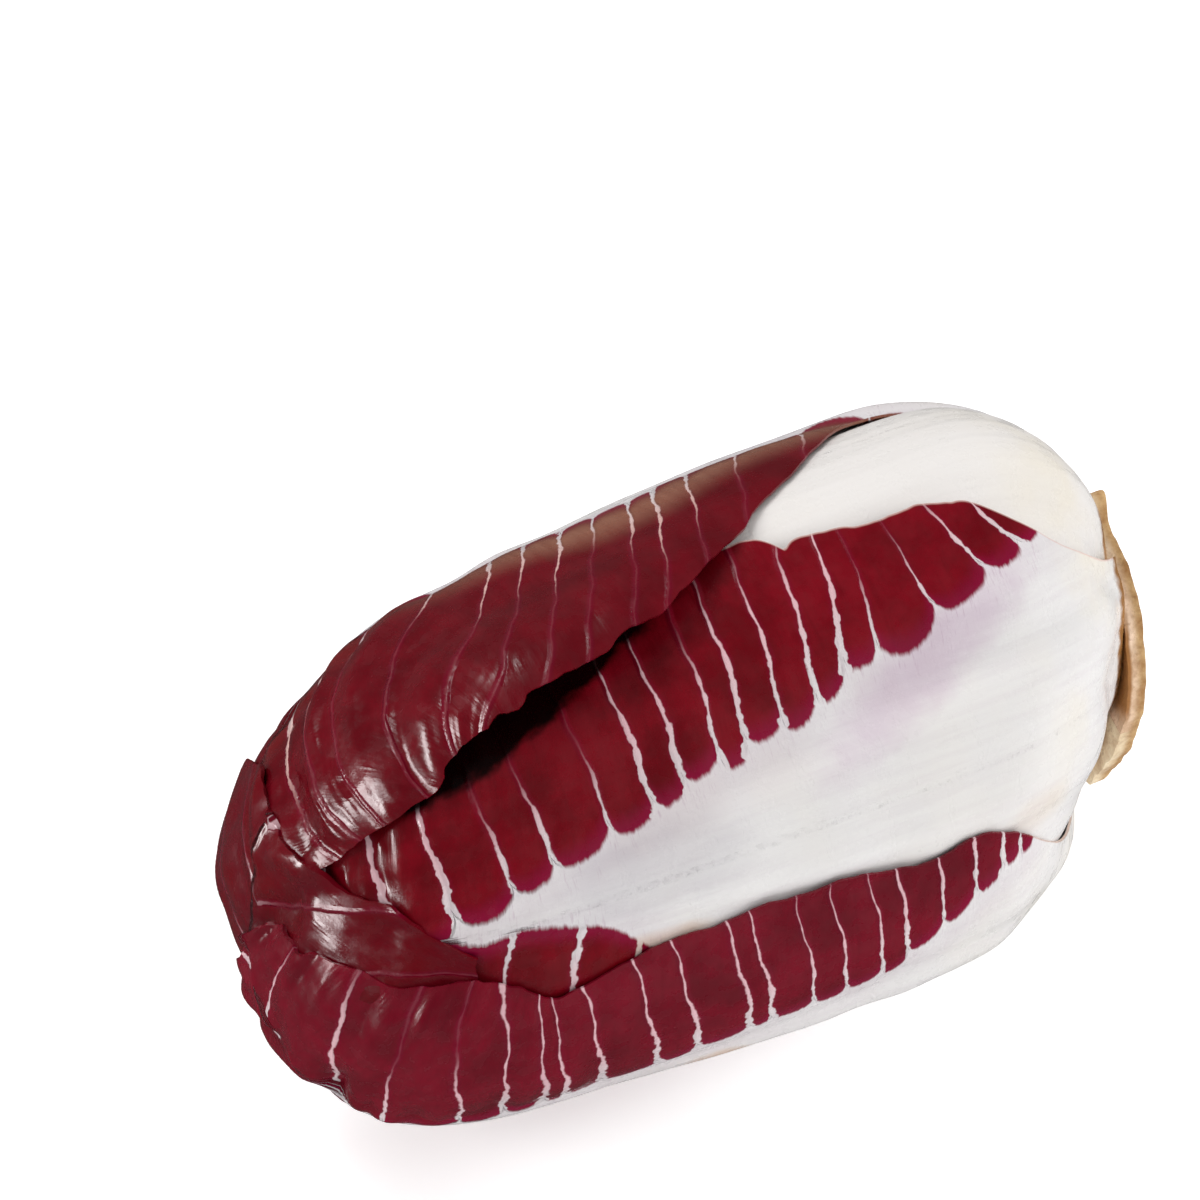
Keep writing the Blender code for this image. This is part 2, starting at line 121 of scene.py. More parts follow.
def leaf_coordinates(leaf, station, theta):
    """The leaf's own station and lateral angle for places on the map."""
    inside_spine = np.clip(station, BASE_STATION, TIP_STATION)
    tilt = (inside_spine - station) / FAN_RADIUS
    outward, _ = round_the_head(theta)
    leaf_out, leaf_side = round_the_head(np.radians(through(leaf["theta"], inside_spine)))
    side = np.cos(tilt) * (outward * leaf_side).sum(-1)
    out = np.cos(tilt) * (outward * leaf_out).sum(-1)
    turned = np.arctan2(np.sin(tilt), out)
    s = inside_spine - FAN_RADIUS * turned
    straight = tilt == 0
    phi = np.where(straight, np.arctan2(side, out), np.arcsin(np.clip(side, -1, 1)))
    return np.where(straight, station, s), phi


# %% [markdown]
# ## Where the head lies
#
# The head leans at both ends, so its cut is slanted. It was then moved until it lay on the
# surface z = 0 and sank in by its own weight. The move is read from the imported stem, whose shape
# is known, so nothing has to be fitted by eye.

# %% The lean, the cut and the move to the surface
CUT_X = 0.0765
STEM_RADIUS = 0.0240
STEM_THICKNESS = 0.0036
STEM_GAP = 0.0003
STEM_SIDES = 44
STEM_UNEVEN = 0.012
LEAN = 0.20
LEAN_TOWARDS = (0.0, 0.743, 0.669)
LEAN_FROM_X = 0.005
LEAN_LENGTH = 0.060
SETTLE = 0.0022


def leaned(points):
    """The points with the ends' lean, which comes in smoothly from the middle of the head."""
    points = np.array(points, float)
    share = smooth_step((np.abs(points[..., 0]) - LEAN_FROM_X) / LEAN_LENGTH)
    points[..., 0] += LEAN * share * (points @ np.array(LEAN_TOWARDS))
    return points


def uneven_rim(turn):
    """The stem's rim isn't round: this is its share of the radius at a turn."""
    waves = np.sin(3 * turn + 0.7) + 0.6 * np.sin(7 * turn) + 0.4 * np.sin(11 * turn + 2)
    return 1 + STEM_UNEVEN * waves


rim_turn = np.arange(STEM_SIDES) * 2 * math.pi / STEM_SIDES
rim_y = STEM_RADIUS * np.cos(rim_turn) * uneven_rim(rim_turn)
rim_z = STEM_RADIUS * np.sin(rim_turn) * uneven_rim(rim_turn)
rim_x = leaned(np.stack([0 * rim_y + CUT_X + STEM_GAP, rim_y, rim_z], -1))[:, 0]
stem_low = np.array(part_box("cut_stem")[0])
shift = stem_low - np.array([rim_x.min(), rim_y.min(), rim_z.min()])
print("the head was moved by", np.round(shift / MM, 2), "mm")


def laid_down(points):
    """From the place where the head was put together to where it lies."""
    points = leaned(points) + shift
    low = np.abs(points[..., 2]) < SETTLE
    pressed = np.where(low, (points[..., 2] + SETTLE) / 2, np.clip(points[..., 2], 0, None))
    points[..., 2] = pressed
    return points


# %% [markdown]
# ## The heart and a map of the head
#
# The small inner leaves are packed so tight that they act as one plump core. A head isn't round,
# so four swellings give the core the outline of the real one: behind, above, below, and where the
# leaf bases bulge beside the cut. The map holds how far the head reaches from its spine at every
# place. It starts as the heart, and each leaf that goes on raises it, so the next leaf knows what
# it lies on.

# %% The heart's reach
HEART_REACH = [
    (0, 34.5), (10, 30.8), (18, 26.9), (25, 26.3), (34, 30.3), (44, 34.2), (56, 36.9), (70, 38.5),
    (99, 39.5), (125, 38.2), (149, 35.6), (171, 34.0), (193, 33.0), (215, 31.4),
]
FULLER = [
    (0, 0), (15, 2.2), (30, 4.0), (44, 5.1), (60, 3.1), (90, 0), (115, 0), (150, 1.1), (180, 1.0),
    (215, 0),
]
FULLER_TOWARDS = math.radians(138)
TOP_SWELL = [
    (0, 0), (14, 2.0), (28, 3.4), (42, 2.4), (55, 1.4), (68, 1.8), (85, 2.2), (105, 2.0), (125, 1.0),
    (150, 0.8), (168, 2.4), (180, 3.0), (192, 0.3), (204, -2.6), (215, -0.6),
]
LOW_SWELL = [(0, 0), (128, 0), (150, 1.3), (172, 2.4), (190, 3.1), (205, 4.2), (215, 2.0)]
BASE_SWELL = [(0, 0), (10, 3.0), (18, 5.5), (26, 6.5), (34, 3.4), (44, 1.0), (56, 0)]
BASE_SWELL_TOWARDS = math.radians(20)
BASE_SWELL_FROM = 0.35
BASE_SWELL_GROWS_OVER = 0.30
SWELL_SHARPNESS = 2.5
HEART_RIDGES = 7
HEART_RIDGE_HEIGHT = 0.0008
HEART_RIDGE_TURN = 9.0
HEART_RIDGE_FADE = 0.05


def heart_reach(station, theta):
    """A plump core whose packed leaf margins wind round it as low ridges."""
    towards = np.cos(theta - FULLER_TOWARDS)
    reach = through(HEART_REACH, station) + through(FULLER, station) * towards
    reach = reach + through(TOP_SWELL, station) * np.clip(towards, 0, 1) ** SWELL_SHARPNESS
    reach = reach + through(LOW_SWELL, station) * np.clip(-towards, 0, 1) ** SWELL_SHARPNESS
    beside_cut = np.cos(theta - BASE_SWELL_TOWARDS) - BASE_SWELL_FROM
    reach = reach + through(BASE_SWELL, station) * smooth_step(beside_cut / BASE_SWELL_GROWS_OVER)
    ridge = np.cos(HEART_RIDGES * (theta + station * HEART_RIDGE_TURN))
    fade = smooth_step((WHOLE - station) / HEART_RIDGE_FADE)
    return reach * MM + HEART_RIDGE_HEIGHT * ridge * fade


print("halfway along, the core reaches", round(float(heart_reach(WHOLE / 2, 0.0)) / MM, 1), "mm to the front")


# %% The map of the head
MAP_STATIONS = 330
MAP_ANGLES = 540

map_station, map_theta = np.meshgrid(
    np.linspace(0, WHOLE, MAP_STATIONS),
    np.arange(MAP_ANGLES) * 2 * math.pi / MAP_ANGLES,
    indexing="ij",
)
head_map = heart_reach(map_station, map_theta)


def between(table, i, j, j_next):
    """The table's value at fractions of rows and columns."""
    i0 = np.clip(i.astype(int), 0, table.shape[0] - 2)
    j0 = np.floor(j).astype(int)
    fi, fj = i - i0, j - j0
    j0, j1 = j0 % table.shape[1], j_next(j0)
    low = table[i0, j0] * (1 - fj) + table[i0, j1] * fj
    high = table[i0 + 1, j0] * (1 - fj) + table[i0 + 1, j1] * fj
    return low * (1 - fi) + high * fi


def round_again(j):
    return (j + 1) % MAP_ANGLES


def map_at(station, theta):
    i = np.clip(station / WHOLE, 0, 1) * (MAP_STATIONS - 1)
    j = (theta / (2 * math.pi)) % 1.0 * MAP_ANGLES
    return between(head_map, i, j, round_again)


print("the heart reaches", round(float(head_map.max()) / MM, 1), "mm from the spine")

# %% [markdown]
# ## How one leaf lies on the others
#
# A leaf is stiff. It doesn't sink into each step under it but bridges it, which is the highest
# value within a short reach, rounded off. Close to the neck the reach is shorter, because the ribs
# are pressed tight there. A second, much shorter reach says where a thin margin would lie.

# %% Bridging what is underneath
LEAF_GAP = 0.0008
BRIDGE_REACH = 0.0064
NECK_BRIDGE_REACH = 0.0035
NECK_BRIDGE_TO = 0.024
BRIDGE_GROWS_OVER = 0.020
BRIDGE_BLUR = 0.0026
PRESSED_REACH = 0.0014
PRESSED_BLUR = 0.0012
BRIDGE_STEP = 0.0014
BRIDGE_WIDTH = math.radians(95)
BRIDGE_ANGLE = BRIDGE_STEP / FAN_RADIUS


def spread(field, reach):
    """The highest value within reach of each place of a grid."""
    n = round(reach / BRIDGE_STEP)
    for axis in (0, 1):
        pad = [(n, n) if a == axis else (0, 0) for a in (0, 1)]
        wide = np.pad(field, pad, mode="edge")
        size = field.shape[axis]
        field = np.max([np.take(wide, range(k, k + size), axis) for k in range(2 * n + 1)], 0)
    return field


def blurred(field, width):
    """The field with its steps rounded off."""
    n = round(2.5 * width / BRIDGE_STEP)
    weights = np.exp(-0.5 * (np.arange(-n, n + 1) * BRIDGE_STEP / width) ** 2)
    weights /= weights.sum()
    for axis in (0, 1):
        pad = [(n, n) if a == axis else (0, 0) for a in (0, 1)]
        wide = np.pad(field, pad, mode="edge")
        size = field.shape[axis]
        field = sum(w * np.take(wide, range(k, k + size), axis) for k, w in enumerate(weights))
    return field


def bridged(leaf):
    """How a stiff leaf lies over what is there, and how a pressed one does, on its own coordinates."""
    rows = np.arange(0, leaf["end"] * MM + 3 * BRIDGE_REACH, BRIDGE_STEP)
    columns = np.arange(-BRIDGE_WIDTH, BRIDGE_WIDTH, BRIDGE_ANGLE)
    grid_s, grid_phi = np.meshgrid(rows, columns, indexing="ij")
    _, ray, tilt = rays(leaf, grid_s, grid_phi)
    found = map_at(*on_the_map(grid_s, ray, tilt))
    close, wide = (blurred(spread(found, reach), BRIDGE_BLUR) for reach in (NECK_BRIDGE_REACH, BRIDGE_REACH))
    far = close + smooth_step((grid_s - NECK_BRIDGE_TO) / BRIDGE_GROWS_OVER) * (wide - close)
    return far, blurred(spread(found, PRESSED_REACH), PRESSED_BLUR)


def next_column(j):
    return j + 1


def lies_on(table, s, phi):
    i = np.clip(s / BRIDGE_STEP, 0, table.shape[0] - 1.001)
    j = np.clip((phi + BRIDGE_WIDTH) / BRIDGE_ANGLE, 0, table.shape[1] - 1.001)
    return between(table, i, j, next_column)


print("a rib bridges steps within", round(BRIDGE_REACH / MM, 1), "mm")
print("a margin bridges them within", round(PRESSED_REACH / MM, 1), "mm")


# %% [markdown]
# ## The leaves
#
# From the innermost out. Stations are in mm along the leaf; theta says where its midline lies
# round the head, and left and right are its margins to either side of that, in degrees. The rib
# is its half width in degrees, thick its thickness in mm. Drops say how much sooner its corners
# end than its middle, and notches are small tears. A margin is pressed down by its share of tight
# and stands off by its lift in mm; loose names the side that the lift is for. Red says how far out
# the red blade starts, veins where the side veins leave the white, slant how far they bend to the
# tip, and pleat how high the blade's folds are. Along and across are the mesh's cells.

# %% Numbers of the hidden leaves
EVEN_VEINS = [
    40, 49, 57, 66, 74, 83, 91, 100, 108, 117, 125, 134, 142, 151, 160, 170, 180, 191, 203, 216, 230,
    245,
]
EVEN_LEFT = [station + 3.7 for station in EVEN_VEINS]
SLANT = [(0, 0.15), (120, 0.20), (160, 0.35), (240, 0.45)]
INNER = dict(
    end=206, drops=(26, 26),
    left=[(0, 18), (30, 26), (60, 44), (100, 54), (160, 52), (205, 40)],
    right=[(0, 18), (30, 26), (60, 44), (100, 54), (160, 52), (205, 40)],
    rib=[(0, 16), (60, 15), (130, 8), (205, 3)],
    thick=[(0, 1.4), (30, 2.2), (60, 3.2), (130, 1.8), (200, 1.0)],
    lift=[(0, 0), (215, 0)],
    red_left=[(0, 60), (40, 40), (60, 26), (100, 18), (150, 8), (205, 3)],
    red_right=[(0, 60), (40, 40), (60, 26), (100, 18), (150, 8), (205, 3)],
    pleat=[(0, 0), (60, 0.2), (206, 0.4)],
    veins=EVEN_VEINS, veins_left=EVEN_LEFT, slant=SLANT, notches=[], tight=[(0, 0.6), (215, 0.6)], loose=0,
    along=90, across=56,
)
LEAVES = [
    INNER | dict(name="leaf_inner_1", seed=11, theta=[(0, 80), (215, 80)]),
    INNER | dict(name="leaf_inner_2", seed=12, theta=[(0, 352), (215, 352)]),
    INNER | dict(name="leaf_inner_3", seed=13, theta=[(0, 205), (215, 205)], end=212, drops=(30, 30)),
]
print(len(LEAVES), "hidden leaves")

# %% Numbers of the leaves that show
OUTER = dict(
    veins=EVEN_VEINS, veins_left=EVEN_LEFT, slant=SLANT, notches=[], tight=[(0, 0.5), (246, 0.5)], loose=0,
)
TIP_RED = [
    (0, 60), (40, 42), (60, 34), (80, 27), (110, 21), (150, 12), (175, 4), (190, -6), (246, -14),
]
LEAVES += [
    OUTER | dict(
        name="leaf_top", seed=21, theta=[(0, 116), (215, 116)], end=200, drops=(24, 24),
        left=[(0, 26), (24, 32), (40, 38), (60, 44), (100, 50), (160, 50), (200, 38)],
        right=[(0, 26), (24, 32), (40, 37), (60, 43), (100, 50), (160, 50), (200, 38)],
        rib=[(0, 28), (50, 32), (90, 26), (140, 11), (200, 3)],
        thick=[(0, 2.0), (30, 3.4), (55, 4.2), (100, 3.2), (150, 1.9), (200, 1.0)],
        lift=[(0, 0), (215, 0)],
        red_left=[(0, 70), (60, 60), (100, 40), (140, 20), (200, 4)],
        red_right=[(0, 70), (60, 46), (80, 38), (100, 30), (140, 14), (200, 4)],
        pleat=[(0, 0), (60, 0.2), (200, 0.6)], along=190, across=110,
    ),
    OUTER | dict(
        name="leaf_back", seed=22, theta=[(0, 226), (215, 222)], end=208, drops=(28, 28),
        left=[(0, 16), (24, 20), (40, 32), (60, 46), (100, 58), (160, 58), (208, 42)],
        right=[(0, 16), (24, 20), (40, 32), (60, 44), (100, 54), (160, 54), (208, 40)],
        rib=[(0, 18), (50, 22), (100, 17), (150, 9), (208, 3)],
        thick=[(0, 1.4), (30, 2.6), (55, 4.0), (100, 3.0), (150, 1.8), (205, 1.0)],
        lift=[(0, 0), (215, 0.2)],
        red_left=[(0, 60), (40, 40), (60, 34), (80, 28), (110, 21), (150, 12), (208, 4)],
        red_right=[(0, 60), (40, 40), (60, 33), (80, 27), (110, 20), (150, 12), (208, 4)],
        pleat=[(0, 0), (60, 0.2), (120, 0.4), (208, 0.8)], along=190, across=130,
    ),
    OUTER | dict(
        name="leaf_front", seed=23, theta=[(0, 33), (215, 32)], end=196, drops=(20, 20),
        left=[(0, 40), (24, 54), (38, 54), (50, 50), (75, 49), (110, 54), (150, 52), (196, 38)],
        right=[
            (0, 20), (24, 25), (36, 29), (46, 37), (53, 45), (61, 52.5), (70, 55.5), (80, 57.5), (92, 61),
            (110, 63), (140, 60), (196, 44),
        ],
        rib=[(0, 22), (40, 24), (70, 22), (110, 15), (150, 7), (196, 3)],
        thick=[(0, 2.2), (30, 3.2), (55, 4.2), (100, 3.3), (150, 2.0), (190, 1.1)],
        lift=[(0, 0), (215, 0.3)],
        red_left=[
            (0, 60), (60, 50), (100, 40), (125, 28), (137, 12), (141, 7), (150, 2), (156, 0.5), (161, 2),
            (170, -2), (180, -4), (196, -4),
        ],
        red_right=[
            (0, 62), (38, 52), (46, 44), (53, 38), (67, 33), (78, 27), (93, 26), (102, 21), (116, 18),
            (124, 15), (136, 12), (144, 9), (151, 6.5), (157, 4), (170, 0), (180, -4), (196, -4),
        ],
        veins=[
            37, 45, 53, 62, 73, 86, 92, 98, 105, 112, 117, 124, 130, 138, 148, 155, 165, 176, 187, 198, 210,
        ],
        veins_left=[40, 52, 66, 80, 92, 104, 116, 128, 137, 146, 156.5, 168, 180, 192, 205],
        slant=[(0, 0.4), (73, 0.3), (86, -0.2), (98, -0.16), (112, -0.1), (124, 0), (138, 0.1), (165, 0.3)],
        pleat=[(0, 0), (60, 0.15), (120, 0.3), (160, 0.5), (196, 0.8)],
        notches=[(1, 92, 4.5, 2.4)], along=300, across=132,
    ),
    OUTER | dict(
        name="leaf_over_top", seed=24, theta=[(0, 164), (60, 158), (150, 143), (215, 141)], end=210,
        drops=(6, 30),
        left=[
            (0, 13), (24, 17), (42, 21), (56, 22), (66, 26), (83, 43), (98, 56), (112, 63), (122, 66),
            (134, 69), (150, 69), (173, 66.5), (192, 61), (199, 55), (203, 47), (211, 42),
        ],
        right=[(0, 14), (24, 19), (40, 30), (60, 40), (100, 48), (150, 48), (205, 38)],
        rib=[(0, 15), (50, 21), (100, 15), (150, 8), (205, 3)],
        thick=[(0, 1.2), (30, 2.6), (55, 4.0), (100, 3.0), (150, 1.8), (205, 1.0)],
        lift=[
            (0, 0), (70, 0.3), (100, 0.8), (116, 4.0), (130, 6.4), (158, 6.6), (176, 3.6), (192, 1.0),
            (205, 0.3),
        ],
        tight=[(0, 0.9), (90, 0.9), (110, 0.2), (125, 0), (185, 0), (205, 0.6)], loose=-1,
        red_left=[
            (0, 30), (56, 20), (66, 17), (80, 15.5), (90, 16.5), (105, 21), (115, 19.5), (130, 12), (150, 5),
            (165, -6), (210, -12),
        ],
        red_right=[
            (0, 60), (40, 44), (60, 36), (80, 30), (100, 23), (130, 16), (165, 2), (180, -4), (210, -4),
        ],
        veins_left=[
            52, 62, 73, 84, 93, 100, 105, 112, 118, 125, 132, 145, 158, 165, 172, 184, 196, 208, 221,
        ],
        slant=[(0, 0.3), (80, 0.33), (106, 0.43), (130, 0.5), (150, 0.6), (170, 0.75), (200, 0.85)],
        pleat=[(0, 0), (70, 0.12), (120, 0.2), (150, 0.5), (175, 1.3), (195, 1.9), (211, 1.6)],
        along=300, across=132,
    ),
    OUTER | dict(
        name="leaf_tip", seed=25, theta=[(0, 270), (60, 270), (150, 275), (215, 280)], end=238,
        drops=(31, -8),
        left=[(0, 16), (24, 20), (40, 32), (60, 42), (100, 52), (150, 60), (200, 64), (246, 56)],
        right=[(0, 14), (24, 18), (40, 28), (60, 40), (100, 52), (150, 64), (200, 72), (246, 66)],
        rib=[(0, 18), (50, 20), (100, 15), (150, 9), (215, 4), (246, 3)],
        thick=[(0, 1.2), (30, 2.0), (55, 3.7), (100, 3.6), (150, 2.2), (215, 1.2)],
        lift=[(0, 0), (246, 0)],
        red_left=TIP_RED, red_right=TIP_RED,
        slant=[(0, 0.15), (150, 0.35), (246, 0.6)], tight=[(0, 0.9), (180, 0.9), (246, 1.0)],
        pleat=[(0, 0), (80, 0.12), (150, 0.5), (180, 1.3), (200, 1.3), (215, 0.8), (230, 1.1), (246, 1.5)],
        along=290, across=130,
    ),
    OUTER | dict(
        name="leaf_low", seed=26, theta=[(0, 322), (60, 323), (215, 323)], end=215, drops=(34, 18),
        left=[(0, 13), (24, 16), (40, 20), (60, 23), (110, 27), (150, 34), (220, 38)],
        right=[
            (0, 8), (24, 12), (36, 17), (45, 28), (56, 43), (66, 51), (90, 53), (115, 56), (132, 55),
            (147, 51), (167, 54), (176, 53), (188, 46), (197, 41), (206, 38), (220, 34),
        ],
        rib=[(0, 7), (28, 8), (50, 19), (100, 18), (150, 9), (220, 3)],
        thick=[(0, 0.7), (30, 0.9), (44, 1.5), (62, 3.4), (100, 3.2), (150, 1.8), (215, 1.0)],
        lift=[(0, 0), (36, -0.6), (110, -0.3), (180, -0.2), (213, -0.5)],
        tight=[(0, 0.95), (220, 0.95)],
        red_left=[(0, 50), (60, 26), (110, 21), (150, 12), (180, 3), (195, -6), (213, -10)],
        red_right=[
            (0, 60), (45, 56), (56, 46), (65, 43.5), (74, 38), (80, 32.5), (89, 26.5), (101, 20.5),
            (117, 18.5), (126, 16), (137, 12), (147, 7), (160, 2), (180, -4), (195, -8), (213, -10),
        ],
        veins=[
            58, 63, 68, 74, 81, 89, 94, 101, 107, 115, 118.5, 127, 133, 140.8, 146.2, 148.8, 154.6, 160.8,
            172.6, 183, 199, 213, 225,
        ],
        slant=[
            (0, 0.1), (90, 0.12), (130, 0.17), (152, 0.18), (160, 0.20), (170, 0.32), (182, 0.30),
            (192, 0.38), (202, 0.45),
        ],
        pleat=[(0, 0), (60, 0.12), (130, 0.3), (165, 0.8), (190, 1.4), (213, 1.5)], along=290, across=130,
    ),
]
print(len(LEAVES), "leaves over the heart")

# %% [markdown]
# ## Margins and thickness
#
# A cut round a template would look like paper. Real margins wander by a millimetre and are finely
# toothed, so a few sine waves of unlike lengths, drawn once from a seed, move each margin. The
# rib's crown and the thin blade are one smooth curve across the leaf.

# %% Wavy margins
BLADE_THICKNESS = 0.0009
MARGIN_THICKNESS = 0.00045
RIB_CROWN = 1.15
FIRST_STATION = 0.004
MARGIN_LENGTHS = (37, 21, 12.5, 7.1, 3.9, 2.3)
MARGIN_HEIGHTS = (0.7, 0.45, 0.3, 0.14, 0.07, 0.04)
WAVES_FROM = 0.048
WAVES_GROW_OVER = 0.022
END_LENGTHS = (900, 430, 260, 140, 71)
END_HEIGHTS = (1.0, 0.5, 0.3, 0.12, 0.08)


def wavering(seed, lengths, heights):
    """A sum of sine waves along one coordinate, as rows of (turns per metre, phase, height)."""
    draw = np.random.default_rng(seed)
    turns = 2 * math.pi / (np.array(lengths) * MM * draw.uniform(0.85, 1.15, len(lengths)))
    return np.stack([turns, draw.uniform(0, 2 * math.pi, len(lengths)), heights], -1)


def wave(rows, at):
    return sum(height * np.sin(turns * at + phase) for turns, phase, height in rows)


def margin_waves(leaf, s, side):
    """How far a margin wanders, in degrees, on the blade only."""
    rows = wavering(leaf["seed"] * 10 + side, MARGIN_LENGTHS, MARGIN_HEIGHTS)
    moved = wave(rows, s)
    for notch_side, station, depth, width in leaf["notches"]:
        if notch_side == side:
            moved = moved - depth * np.exp(-np.abs((s / MM - station) / width) ** 1.3)
    return moved * smooth_step((s - WAVES_FROM) / WAVES_GROW_OVER)


def margins(leaf, s):
    """The lateral angles of the leaf's two margins at a station."""
    left = through(leaf["left"], s) + margin_waves(leaf, s, 0)
    right = through(leaf["right"], s) + margin_waves(leaf, s, 1)
    return -np.radians(left), np.radians(right)


def last_station(leaf, v):
    """Where the leaf ends, by its share v across, from -1 to 1."""
    drop = np.where(v < 0, leaf["drops"][0], leaf["drops"][1]) * MM
    rows = wavering(leaf["seed"] * 10 + 2, END_LENGTHS, END_HEIGHTS)
    return leaf["end"] * MM - drop * np.abs(v) ** 3 + wave(rows, v) * MM


def thickness(leaf, s, phi, v):
    """A crowned rib in a thin blade that thins to its margins."""
    rib = np.radians(through(leaf["rib"], s))
    crown = smooth_step(RIB_CROWN * (1 - (phi / rib) ** 2))
    blade = BLADE_THICKNESS + (MARGIN_THICKNESS - BLADE_THICKNESS) * np.abs(v) ** 4
    return blade + crown * np.clip(through(leaf["thick"], s) * MM - blade, 0, None)


print("a blade is", round(BLADE_THICKNESS / MM, 2), "mm thick, and half of that at its margin")


# %% [markdown]
# ## Side veins and the blade's relief
#
# Side veins leave the rib at stations that were read from the photo, because they set the fingers'
# widths. Between two veins the blade swells outwards a little, and towards the tip, where it had
# no room to spread, it is thrown into pleats. These are real bumps in the mesh. Finer ones, such
# as the beads on a vein, come later in the material.

# %% Rows of veins
SPACING_AT_BASE = 9
SPACING_AT_TIP = 12
ZIGZAG = ((0.26, 2.6, 8.7), (0.09, 0.93, 5.1))
ZIGZAG_GROWS_OVER = 6


def count_rows(veins, foot):
    """Numbers the veins and what lies between them, and gives the spacing there."""
    stations = np.array(veins, float)
    row = np.interp(foot, stations, np.arange(len(stations)))
    row = row + np.clip(foot - stations[-1], 0, None) / SPACING_AT_TIP
    row = row + np.clip(foot - stations[0], None, 0) / SPACING_AT_BASE
    return row, np.interp(foot, (stations[1:] + stations[:-1]) / 2, np.diff(stations))


def vein_rows(leaf, s, across, side):
    """The number of the vein row at a place, counted along the leaf, and the local spacing in mm."""
    red = np.where(side > 0, through(leaf["red_right"], s), through(leaf["red_left"], s)) * MM_PER_DEGREE
    past_red = across - red
    bent = np.clip(past_red, 0, None) * through(leaf["slant"], s)
    zigzag = sum(wide * np.sin(across / out + s / MM / up) for wide, out, up in ZIGZAG)
    foot = s / MM - bent - zigzag * smooth_step(past_red / ZIGZAG_GROWS_OVER)
    right_row, right_spacing = count_rows(leaf["veins"], foot)
    left_row, left_spacing = count_rows(leaf["veins_left"], foot)
    row = np.where(side > 0, right_row, left_row)
    return row, past_red, np.where(side > 0, right_spacing, left_spacing)


print("the front leaf has", len(LEAVES[5]["veins"]), "side veins on its upper half")


# %% Folds of the blade and ridges of the rib
FOLD_LENGTHS = (26, 15, 9.5, 6.3)
FOLD_HEIGHTS = (0.9, 0.8, 0.5, 0.28)
FOLD_MIDDLE = 0.64
SWELL_HEIGHT = 0.45
LIFT_FROM = 0.55
HELD_DOWN = 0.1
LAST_OF_LEAF = 0.022


def creases(rows, at):
    """Round folds with sharp valleys between them."""
    folds = ((height, np.abs(np.sin(turns * at / 2 + phase))) for turns, phase, height in rows)
    return sum(height * (fold - FOLD_MIDDLE) for height, fold in folds)


def relief(leaf, s, phi, v):
    """How far the blade stands out or sinks in at a place, in metres."""
    across = np.abs(np.degrees(phi)) * MM_PER_DEGREE
    row, past_red, _ = vein_rows(leaf, s, across, np.sign(phi))
    on_blade = smooth_step((past_red + 3) / 9)
    swell = np.sin(math.pi * (row % 1.0)) ** 2 - 0.5
    pleat = through(leaf["pleat"], s)
    signed = across * MM * np.sign(phi)
    bent = s - np.clip(past_red, 0, None) * MM * through(leaf["slant"], s)
    folds = wavering(leaf["seed"] * 10 + 3, FOLD_LENGTHS, FOLD_HEIGHTS)
    side_waves = wavering(leaf["seed"] * 10 + 4, (47, 29), (0.35, 0.3))
    drift = creases(folds, bent + 0.1 * signed) * (1 + wave(side_waves, signed + 0.5 * s))
    fine = wavering(leaf["seed"] * 10 + 5, (8.3, 6.1, 4.3), (0.09, 0.06, 0.04))
    grain = wave(fine, s + 0.5 * across * MM) + wave(fine[::-1], signed - 0.4 * s)
    fade = 1 - 0.8 * np.abs(v) ** 5
    return on_blade * fade * (pleat * (SWELL_HEIGHT * swell + drift) + (0.1 + 0.12 * pleat) * grain) * MM


def rib_relief(leaf, s, phi):
    """Long soft ridges on the white rib, where its strands run."""
    across = np.degrees(phi) * MM_PER_DEGREE
    red = np.where(phi > 0, through(leaf["red_right"], s), through(leaf["red_left"], s)) * MM_PER_DEGREE
    on_rib = 1 - smooth_step((np.abs(across) - red + 4) / 5)
    strands = wavering(leaf["seed"] * 10 + 6, (9.0, 5.5, 3.1), (0.05, 0.04, 0.02))
    dents = wavering(leaf["seed"] * 10 + 7, (33, 21), (0.12, 0.10))
    return on_rib * (wave(strands, across * MM + 0.02 * s) + wave(dents, s + 0.2 * across * MM)) * MM


def leaf_form(leaf, under, s, phi, v):
    """How far the leaf's outer face reaches from the spine, and its thickness."""
    stiff, pressed = (lies_on(table, s, phi) for table in under)
    edge = smooth_step((np.abs(v) - LIFT_FROM) / (1 - LIFT_FROM))
    edge = np.maximum(edge, smooth_step(1 - (last_station(leaf, v) - s) / LAST_OF_LEAF))
    tight = through(leaf["tight"], s) * edge
    inner = stiff + tight * (pressed - stiff) + LEAF_GAP * (1 - 0.5 * tight)
    loose = np.where(v * leaf["loose"] < 0, HELD_DOWN, 1.0)
    inner = inner + through(leaf["lift"], s) * MM * edge * loose
    thick = thickness(leaf, s, phi, v)
    return inner + thick + relief(leaf, s, phi, v) + rib_relief(leaf, s, phi), thick


def raise_map(leaf, under):
    """The map with the leaf on it."""
    s, phi = leaf_coordinates(leaf, map_station, map_theta)
    left, right = margins(leaf, s)
    v = np.where(phi < 0, -phi / left, phi / right)
    across = np.clip(v, -1, 1)
    covered = (np.abs(v) <= 1) & (s >= FIRST_STATION) & (s <= last_station(leaf, across))
    outer, _ = leaf_form(leaf, under, s, phi, across)
    return np.where(covered, np.maximum(head_map, outer), head_map)


print("a leaf's last", round(LAST_OF_LEAF / MM), "mm lie down like its margins")


# %% [markdown]
# ## One leaf as a mesh
#
# The outer face is a grid primitive whose points are moved to their places. Solidify gives it its
# thickness inwards, thick in the rib and thin at the margins, by a vertex group. The knife that
# cut the head off its root is a bisect with a filled cut. Three point attributes keep where each
# point lies on the leaf, so that the material can draw veins that follow the surface.

# %% Helpers for meshes
LEFT_VEINS_FROM = 40


